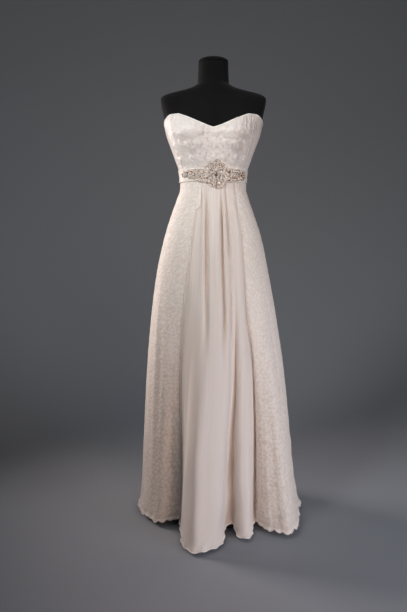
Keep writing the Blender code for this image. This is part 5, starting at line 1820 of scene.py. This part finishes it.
stems = []
leaves = []
for number, row in enumerate(rows_of(SPRIGS), start=1):
    steps = np.linspace(0.0, 1.0, STEM_POINTS)
    heading = np.radians(row["lean"] + row["bend"] * steps)
    step = row["length"] * CM / (STEM_POINTS - 1)
    x = row["x"] * CM - np.cumsum(np.sin(heading)) * step
    z = row["z"] * CM + np.cumsum(np.cos(heading)) * step
    stems.append(cord_along("sprig_stem_%02d" % number,
                            bodice_face(x, NECK_TOP_Z - z, STEM_RADIUS * 0.6), STEM_RADIUS,
                            silver_thread, sides=6))
    belongs(stems[-1], "lace_trim")
    every = max(2, round(SPRIG_LEAF_STEP / step))
    for k in range(every, STEM_POINTS, every):
        for side in (-1.0, 1.0):
            leaves.append((x[k], NECK_TOP_Z - z[k], heading[k] + side * SPRIG_LEAF_LEAN,
                           SPRIG_LEAF_SIZE * (1.15 - 0.5 * steps[k])))
    leaves.append((x[-1], NECK_TOP_Z - z[-1], heading[-1], SPRIG_LEAF_SIZE * 0.8))
leaves = np.array(leaves)
flowers = np.array([(row["x"] * CM, NECK_TOP_Z - row["z"] * CM, row["x"], SPRIG_FLOWER_SIZE)
                    for row in rows_of(SPRIG_FLOWERS)])
sprig_leaves = join_copies("sprig_leaves", [sow(bodice_face, leaf, *leaves.T, MOTIF_LIFT),
                                            sow(bodice_face, flower, *flowers.T, MOTIF_LIFT)],
                           silver_thread)
belongs(sprig_leaves, "lace_trim")
print("sprigs", len(stems), "with", len(leaves), "leaves and", len(flowers), "flowers")

# %% [markdown]
# The applique on the belt is beads sewn on stiff net. Its outline is lobed, tall at the medallion
# and low toward its ends, and it covers nearly the whole front of the belt.

# %% Applique ground
PLAQUE_WALL = 1.4 * MM
PLAQUE_COLUMNS = 220
PLAQUE_ROWS = 16
PLAQUE_LIFT = BELT_LIFT + BELT_WALL + 0.4 * MM
NET_SINK = 0.5 * MM
NET_WALL = PLAQUE_WALL - 0.6 * MM
PLAQUE = read_table("""
    x above below
    -11.4 0.5 0.4
    -10.6 1.5 0.8
     -9.6 1.3 0.7
     -8.6 1.8 1.3
     -7.6 1.6   1
     -6.6   2 1.9
     -5.6 1.9 2.1
     -4.6 2.1 2.6
     -3.7   2 2.3
     -2.8 2.8 2.9
       -2   3 2.8
     -1.2   4   4
     -0.4 3.9 4.3
      0.4 4.8 4.5
      1.2 5.3 4.9
        2 4.8 4.5
      2.9   4 4.4
      3.7 3.7 3.8
      4.5 2.6 2.6
      5.4 2.1 2.3
      6.4 2.2 2.6
      7.4 1.8 2.1
      8.4   2 2.3
      9.4 1.6 1.8
     10.4 1.7 1.9
     11.3 0.9 1.1
""")


def plaque_face(x, down, lift):
    """Points of the applique: x metres to the right and down metres under the belt's middle."""
    turn = turn_at(x, WAIST_SEAM_Z, PLAQUE_LIFT)
    return belt_point(turn, WAIST_SEAM_Z - down, PLAQUE_LIFT + lift)


def plaque_edge(x, column):
    """How far the applique reaches above or below the belt's middle line."""
    return smooth(PLAQUE["x"], PLAQUE[column], x / CM) * CM


PLAQUE_LEFT, PLAQUE_RIGHT = PLAQUE["x"][[0, -1]]
plaque_x = np.linspace(PLAQUE_LEFT, PLAQUE_RIGHT, PLAQUE_COLUMNS)[None, :] * CM
plaque_share = np.linspace(0.0, 1.0, PLAQUE_ROWS)[:, None]
plaque_above, plaque_below = (plaque_edge(plaque_x, side) for side in ("above", "below"))
plaque_down = (plaque_above + plaque_below) * plaque_share - plaque_above
plaque_grid = plaque_face(plaque_x, plaque_down, PLAQUE_WALL - NET_SINK)
plaque_net = hang_cloth("applique_net", plaque_grid, NET_WALL, bead_net)
belongs(plaque_net, "bead_ground", "belt_applique")
print("applique", round(float(plaque_x[0, -1] - plaque_x[0, 0]), 3), "m long")

# %% [markdown]
# A cut crystal is a short cylinder whose top is inset and lifted twice, which gives it a girdle, a
# slanted crown and a flat table. Its claw ring is a torus with four raised grips. Each is modelled
# at unit size and then set on the applique, square to the cloth.

# %% Stones
SMOKED_STONES = (1, 15)
STONES = read_table("""
    x up half_width half_height kind
     0.9  0.1 5.5   8 crystal
     0.9  1.6   4 4.6 crystal
     1.3  3.9   3 5.5 crystal
    -0.9  0.8 3.6   5 crystal
     2.8  0.8 3.6   5 crystal
    -0.8 -1.2 3.2 4.4 crystal
     2.7 -1.3 3.2 4.4 crystal
       2   -3 4.6 4.6 pearl
    -0.4   -3   3   3 crystal
    -3.4    0 4.2 3.2 crystal
    -5.9 -0.2 3.4 2.8 crystal
    -8.3 -0.3 2.8 2.8 crystal
     5.2    0 4.2 3.2 crystal
     7.6 -0.1 3.4 2.8 crystal
     9.9 -0.1 2.8 2.8 crystal
""")
STONE_SEAT = 0.3 * MM
STONE_RISE = 0.62
STONE_SIDES = 12
GIRDLE = 0.3
CROWN_STEPS = ((0.22, 0.42), (0.26, 0.24))
PEARL_SEAT = 0.6
PEARL_TOP = 0.94
RING_RADIUS = 1.04
RING_WIRE = 0.13
RING_HEIGHT = 0.18
CLAWS = 4
CLAW_RISE = 0.16


def select_top(piece):
    """Select only the faces that look straight up."""
    select_only(piece)
    for part in (*piece.data.vertices, *piece.data.edges):
        part.select = False
    for face in piece.data.polygons:
        face.select = face.normal.z > 0.99


def cut_crystal(name):
    """A faceted stone of radius 1 and height 1: a girdle, a slanted crown and a flat table."""
    stone = add_piece(bpy.ops.mesh.primitive_cylinder_add, name, vertices=STONE_SIDES,
                      radius=1.0, depth=GIRDLE, location=(0.0, 0.0, GIRDLE / 2))
    for inset, rise in CROWN_STEPS:
        select_top(stone)
        bpy.ops.object.mode_set(mode="EDIT")
        bpy.ops.mesh.select_mode(type="FACE")
        bpy.ops.mesh.inset(thickness=inset)
        bpy.ops.transform.translate(value=(0.0, 0.0, rise))
        bpy.ops.object.mode_set(mode="OBJECT")
    stone.data.materials.append(crystal)
    return stone


def round_pearl(name):
    """A round pearl with its drilled top flattened."""
    bead = add_piece(bpy.ops.mesh.primitive_uv_sphere_add, name, segments=24, ring_count=16,
                     radius=1.0)
    points = read_points(bead)
    points[:, 2] = np.clip(points[:, 2], -PEARL_SEAT, PEARL_TOP) + PEARL_SEAT
    place_points(bead, points)
    return give_finish(bead, pearl)


def claw_ring(name):
    """A cast ring round a stone's girdle, with four claws."""
    ring = add_piece(bpy.ops.mesh.primitive_torus_add, name, major_segments=24, minor_segments=6,
                     major_radius=RING_RADIUS, minor_radius=RING_WIRE,
                     location=(0.0, 0.0, RING_HEIGHT))
    points = read_points(ring)
    turn = np.arctan2(points[:, 1], points[:, 0])
    points[:, 2] += CLAW_RISE * np.maximum(0.0, np.cos(CLAWS * turn)) ** 6
    place_points(ring, points)
    return give_finish(ring, claw_metal)


def seat_stone(piece, row):
    """Scale a stone to its size and set it on the applique, square to the cloth."""
    x, down = row["x"] * CM, -row["up"] * CM
    wide, high = row["half_width"] * MM, row["half_height"] * MM
    seat = plaque_face(x, down, PLAQUE_WALL)
    across = plaque_face(x + wide, down, PLAQUE_WALL) - plaque_face(x - wide, down, PLAQUE_WALL)
    upward = plaque_face(x, down - high, PLAQUE_WALL) - plaque_face(x, down + high, PLAQUE_WALL)
    across /= np.linalg.norm(across)
    upward /= np.linalg.norm(upward)
    out = np.cross(across, upward)
    rise = STONE_RISE * min(wide, high)
    points = read_points(piece)
    placed = seat + out * STONE_SEAT + points[:, :1] * across * wide
    placed = placed + points[:, 1:2] * upward * high + points[:, 2:3] * out * rise
    place_points(piece, placed)


stones = rows_of(STONES)
for number, row in enumerate(stones, start=1):
    name = "stone_%02d" % number
    make = round_pearl if row["kind"] == "pearl" else cut_crystal
    piece = make(name + "_" + row["kind"])
    if number in SMOKED_STONES:
        piece.material_slots[0].material = smoked_crystal
    seat_stone(piece, row)
    belongs(piece, row["kind"], name)
    if row["kind"] == "crystal":
        ring = claw_ring(name + "_claws")
        seat_stone(ring, row)
        belongs(ring, "crystal")
print("stones", len(stones))

# %% [markdown]
# The beadwork's design is a few marked rows of beads and the rosette of the medallion. Each row has
# its kind, its two ends in centimetres from the belt's middle, how far it sags, and the size and
# spacing of its beads in millimetres.

# %% Rows and rosettes of beads
# The two bronze rows at x 0.6 to 1 cm, above and below the medallion's middle, are dark beads set
# along a line of shadow between the stones: a painted shadow.
BEAD_ROWS = read_table("""
    kind x_start up_start x_end up_end sag radius step
    bronze  -10.8 -0.3 -5.4 -0.4  0.1 2.3  13
    crystal -10.2  0.1 -4.8  0.2  0.1 2.6  13
    crystal  -9.6 -0.4   -6 -0.7  0.1 2.2  13
    bronze     -9    1   -5  1.2  0.1 1.7  12
    crystal  -4.6  1.1 -1.9  1.9  0.3 2.4   8
    bronze   -4.2 -1.2 -2.2 -1.2    0 2.2   9
    crystal  -5.2 -1.4 -2.4 -2.1  0.2 2.5   8
    bronze      1  4.9  0.6  2.5  0.1 1.6 4.4
    bronze    0.9 -1.1    1 -4.3  0.2 1.8   5
    crystal  -1.9 -3.3 -0.9 -3.9    0 2.5   7
    pearl     2.2  2.6  3.4  0.2  0.6 1.7 4.4
    silver   -0.4  2.8   -2  0.4 -0.6 1.7 4.4
    pearl     5.6 -1.5   10   -1 -0.3 2.3   8
    bronze      6 -1.1 10.4 -0.8 -0.2 2.2   7
    pearl     6.2  0.9 10.6  0.6  0.1 1.8   9
    bronze    6.6  0.8 10.2  0.6  0.1 2.2   9
    silver    3.9  2.4 10.6  1.4 -0.4 1.6 3.6
    crystal     4 -1.9  5.6 -1.6    0 2.3   7
""")
ROSETTE_X, ROSETTE_UP = 0.9, 0.3
ROSETTES = read_table("""
    kind half_width half_height radius beads start
    crystal 9.5 14 2.7 10   0
    bronze  9.5 14 1.9 10 0.5
    silver   17 24 2.8 15   0
    bronze   16 23 1.9 15 0.5
    crystal  24 33 2.6 19   0
    bronze   23 32 1.6 19 0.5
""")
print("bead rows", len(BEAD_ROWS["kind"]), "rings in the rosette", len(ROSETTES["kind"]))

# %% [markdown]
# Beads are sewn in an order: first the marked rows and the rosette, then along the outline, in rings
# round every stone, and last loosely between them. Each new place is kept only if it is free, which
# is how a hand fills a pattern too. Silver beads crowd at the left end of the belt and darker
# champagne and bronze ones at the right, which paints the shade that falls on the belt's right end.

# %% Small beads
BEAD_KINDS = (("silver", silver_bead), ("champagne", champagne_bead), ("bronze", bronze_bead),
              ("pearl", pearl), ("crystal", crystal))
BEAD_RADIUS = 1.1 * MM
BEAD_ROOM = 0.93
BEAD_SINK = 0.5 * MM
EDGE_INSET_CM = 0.12
EDGE_PITCH = 2.2
RING_PITCH = 4.2
RING_ROOMS = (1.4, 4.2)
LOOSE_UP = (-5.0, 5.4)
BEAD_SIZES = (0.85, 1.1)
LOOSE_RADII = ((2.2, 160), (1.6, 700), (1.2, 3000))
SHARES_LIT_LEFT = (0.74, 0.95)
SHARES_SHADED_RIGHT = (0.45, 0.78)


def bead_template():
    """A small round bead of radius 1, flattened where its hole is."""
    bead = add_piece(bpy.ops.mesh.primitive_uv_sphere_add, "bead", segments=8, ring_count=4,
                     radius=1.0)
    place_points(bead, read_points(bead) * (1.0, 0.85, 1.0))
    return template_of(bead)


def colours_at(x, random):
    """Which of the first three kinds beads at x are, darker toward the right as painted shade."""
    t = (x / CM - PLAQUE_LEFT) / (PLAQUE_RIGHT - PLAQUE_LEFT)
    draw = random.random(len(x))
    limits = [a + (b - a) * t for a, b in zip(SHARES_LIT_LEFT, SHARES_SHADED_RIGHT)]
    return (draw > limits[0]).astype(int) + (draw > limits[1])


def same_kind(x, up, row):
    """Rows of x, up, radius and kind for beads that share a table row's radius and kind."""
    kinds = [name for name, _ in BEAD_KINDS]
    return np.column_stack((x, up, np.full(len(x), row["radius"]),
                            np.full(len(x), kinds.index(row["kind"]))))


def bead_tries(random):
    """Places to try in order, as rows of x, up, radius and kind."""
    tries = []
    for row in rows_of(BEAD_ROWS):
        start = np.array((row["x_start"], row["up_start"]))
        along = np.array((row["x_end"], row["up_end"])) - start
        length = float(np.linalg.norm(along))
        t = np.linspace(0.0, 1.0, round(length * CM / (row["step"] * MM)) + 1)
        bow = row["sag"] * np.sin(math.pi * t) / length
        tries.append(same_kind(start[0] + along[0] * t - along[1] * bow,
                               start[1] + along[1] * t + along[0] * bow, row))
    for row in rows_of(ROSETTES):
        turn = (np.arange(row["beads"]) + row["start"]) * 2 * math.pi / row["beads"]
        tries.append(same_kind(ROSETTE_X + row["half_width"] * np.sin(turn) * MM / CM,
                               ROSETTE_UP + row["half_height"] * np.cos(turn) * MM / CM, row))
    edge_x = np.arange(PLAQUE_LEFT, PLAQUE_RIGHT, EDGE_PITCH * BEAD_RADIUS / CM)
    above, below = (plaque_edge(edge_x * CM, side) / CM for side in ("above", "below"))
    loose = [(edge_x, above - EDGE_INSET_CM, BEAD_RADIUS / MM),
             (edge_x, EDGE_INSET_CM - below, BEAD_RADIUS / MM)]
    for row in stones:
        for room in RING_ROOMS:
            wide, high = row["half_width"] + room, row["half_height"] + room
            turn = np.arange(0.0, 2 * math.pi, RING_PITCH * BEAD_RADIUS / MM / (wide + high))
            loose.append((row["x"] + wide * np.cos(turn) * MM / CM,
                          row["up"] + high * np.sin(turn) * MM / CM, BEAD_RADIUS / MM))
    for radius, count in LOOSE_RADII:
        loose.append((random.uniform(PLAQUE_LEFT, PLAQUE_RIGHT, count),
                      random.uniform(*LOOSE_UP, count), radius))
    for x, up, radius in loose:
        size = np.full(len(x), radius) * random.uniform(*BEAD_SIZES, len(x))
        tries.append(np.column_stack((x, up, size, colours_at(x * CM, random))))
    return np.concatenate(tries) * (CM, CM, MM, 1.0)


def bead_places(tries):
    """The tries that lie inside the outline, beside every stone and clear of earlier beads."""
    x, up, radius, _ = tries.T
    free = up < plaque_edge(x, "above") - 0.5 * radius
    free &= up > 0.5 * radius - plaque_edge(x, "below")
    for row in stones:
        free &= np.hypot((x - row["x"] * CM) / (row["half_width"] * MM + radius),
                         (up - row["up"] * CM) / (row["half_height"] * MM + radius)) > 1.0
    taken = np.empty((0, 4))
    for place in tries[free]:
        gap = np.hypot(*(taken[:, :2] - place[:2]).T) - BEAD_ROOM * (taken[:, 2] + place[2])
        if not len(taken) or gap.min() > 0.0:
            taken = np.vstack((taken, place))
    return taken


bead = bead_template()
rhinestone = template_of(cut_crystal("rhinestone"))
random = np.random.default_rng(SOW_SEED + 2)
beads = bead_places(bead_tries(random))
for number, (kind, finish) in enumerate(BEAD_KINDS):
    x, up, radius, _ = beads[beads[:, 3] == number].T
    spin = random.uniform(0.0, 2 * math.pi, len(x))
    cut = kind == "crystal"
    raised = 0.0 if cut else 0.75
    placed = sow(plaque_face, rhinestone if cut else bead, x, -up, spin, radius,
                 PLAQUE_WALL - BEAD_SINK + radius * raised)
    belongs(join_copies("beads_" + kind, [placed], finish, 20.0 if cut else 60.0), "bead_ground")
print("beads", len(beads))

# %% [markdown]
# The zip is closed, so only its coil shows in the back seam. The coil is a row of nylon loops, one
# shape copied down the seam. The slider and its pull are the packed solids with a better finish,
# and the pull keeps its hinge.

# %% Zip
TOOTH_PITCH = 1.5 * MM
TOOTH_SIZE = (1.7 * MM, 0.9 * MM, 0.95 * MM)
TOOTH_ROUNDING = 0.28 * MM
COIL_END_INSET = 4.0 * MM
COIL_SINK = 0.9 * MM


def back_seam_y(z):
    """The outer face of the cloth at centre back."""
    bodice_y = bodice_point(180.0, z, BODICE_WALL)[..., 1]
    skirt_y = side_fold_point(BACK_SEAM, np.minimum(z, WAIST_SEAM_Z))[..., 1] + SKIRT_WALL / 2
    return np.where(z > WAIST_SEAM_Z, bodice_y, skirt_y)


def tooth_template():
    """One loop of the coil: a small block with all its edges rounded."""
    tooth = add_piece(bpy.ops.mesh.primitive_cube_add, "tooth", size=1.0)
    place_points(tooth, read_points(tooth) * TOOTH_SIZE)
    apply_modifier(tooth, "BEVEL", width=TOOTH_ROUNDING, segments=1)
    return template_of(tooth)


tooth = tooth_template()
coil_z = np.arange(ZIP_END_Z + COIL_END_INSET, top_edge(180.0) - COIL_END_INSET, TOOTH_PITCH)
coil_middle = np.column_stack((np.zeros(len(coil_z)), back_seam_y(coil_z) - COIL_SINK, coil_z))
coil = join_copies("zip_coil_loops", [(coil_middle[:, None] + tooth[0][None], tooth[1])],
                   zip_nylon)
belongs(coil, "zip_tape", "zip_coil")
for name in ("zip_slider", "zip_pull"):
    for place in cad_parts[name].material_slots:
        place.material = zip_enamel
print("coil loops", len(coil_z))

# %% [markdown]
# Each cloth's flat measures are worked out once more from its hung grid, and are not kept. The
# bodice is drawn tight over the form and the skirt hangs from the waist.

# %% Cut sizes
def declare_cut(grid):
    """Work out a hung panel's flat measures, which are not kept."""
    cloth = Cloth(grid)


for panel in rows_of(BODICE_PANELS):
    declare_cut(bodice_grid(panel))
declare_cut(belt_grid)
declare_cut(plaque_grid)
declare_cut(chiffon_grid)
declare_cut(lace_left_grid[:-2])
declare_cut(lace_right_grid[:-2])

# %% [markdown]
# The room is a round pale floor that sweeps up into a wall all round, so that no line shows where
# they meet, from whichever side one looks. It is a cylinder with its top taken off and a wide
# bevel. Two soft lights stand high in front and light the bodice. Two stand low on the right, a
# warm one and a cool one, and light the folds. The others draw the sides and light the wall.

# %% Floor and lights
ROOM_RADIUS = 5.5
ROOM_HEIGHT = 5.0
SWEEP_RADIUS = 4.2
SWEEP_STEPS = 20
WORLD_STRENGTH = 0.03


def aim(place, target):
    """The rotation that turns a lamp at a place toward a target."""
    x, y, z = (t - p for p, t in zip(place, target))
    return (math.atan2(math.hypot(x, y), -z), 0.0, math.atan2(-x, y))


def soft_light(row):
    """A square area light in metres and watts, whose beam opens by spread in degrees."""
    place = [float(row[axis]) for axis in ("x", "y", "z")]
    target = [float(row[axis]) for axis in ("to_x", "to_y", "to_z")]
    lamp = add_piece(bpy.ops.object.light_add, row["name"], type="AREA", location=place,
                     rotation=aim(place, target))
    lamp.data.size = row["size"]
    lamp.data.energy = row["power"]
    lamp.data.color = linear(row["colour"])[:3]
    lamp.data.spread = math.radians(row["spread"])
    lamp.visible_camera = False


floor = add_piece(bpy.ops.mesh.primitive_cylinder_add, "floor", vertices=ROUND_SIDES,
                  radius=ROOM_RADIUS, depth=ROOM_HEIGHT, location=(0.0, 0.0, ROOM_HEIGHT / 2))
select_top(floor)
bpy.ops.object.mode_set(mode="EDIT")
bpy.ops.mesh.select_mode(type="FACE")
bpy.ops.mesh.delete(type="FACE")
bpy.ops.mesh.select_all(action="SELECT")
bpy.ops.mesh.flip_normals()
bpy.ops.object.mode_set(mode="OBJECT")
apply_modifier(floor, "BEVEL", width=SWEEP_RADIUS, segments=SWEEP_STEPS, limit_method="ANGLE")
floor_paint = new_finish("pale studio floor", Roughness=0.85, Base_Color=linear("9EA4AD"))
give_finish(floor, floor_paint)

world = bpy.data.worlds.new("soft grey room")
bpy.context.scene.world = world
world.use_nodes = True
background = world.node_tree.nodes["Background"]
background.inputs["Color"].default_value = linear("C8CACE")
background.inputs["Strength"].default_value = WORLD_STRENGTH
LIGHTS = read_table("""
    name                 x    y   z    to_x to_y to_z  size power colour spread
    key_light         -1.0 -1.3 2.3   -0.02  0.0 1.42   0.5   2.5 FAFFFF     62
    top_right_light    0.4 -2.0 2.1    0.05  0.0 1.44   0.7   1.2 FFF2EA     54
    fill_light         0.9 -2.3 0.6     0.1  0.0  0.3   1.0   4.6 FFE4D8     90
    low_right_light    1.7 -1.5 0.5     0.0  0.0  0.3   0.8   3.7 E4F0FF     80
    left_light        -1.8  0.9 1.4    -0.1  0.0 0.90   0.8   7.2 FFEEE6     72
    right_back_light   1.8  1.2 0.9    0.15  0.0  0.6   0.8   1.2 FFF4EE     90
    ceiling_light      0.0  0.0 4.6     0.0  0.0  0.0   2.5  10.0 F2F6FF    180
    wall_light         0.0  0.8 3.4     0.0  5.0  2.5   1.5  26.0 FFF6EC    160
""")
for row in rows_of(LIGHTS):
    soft_light(row)

# %% [markdown]
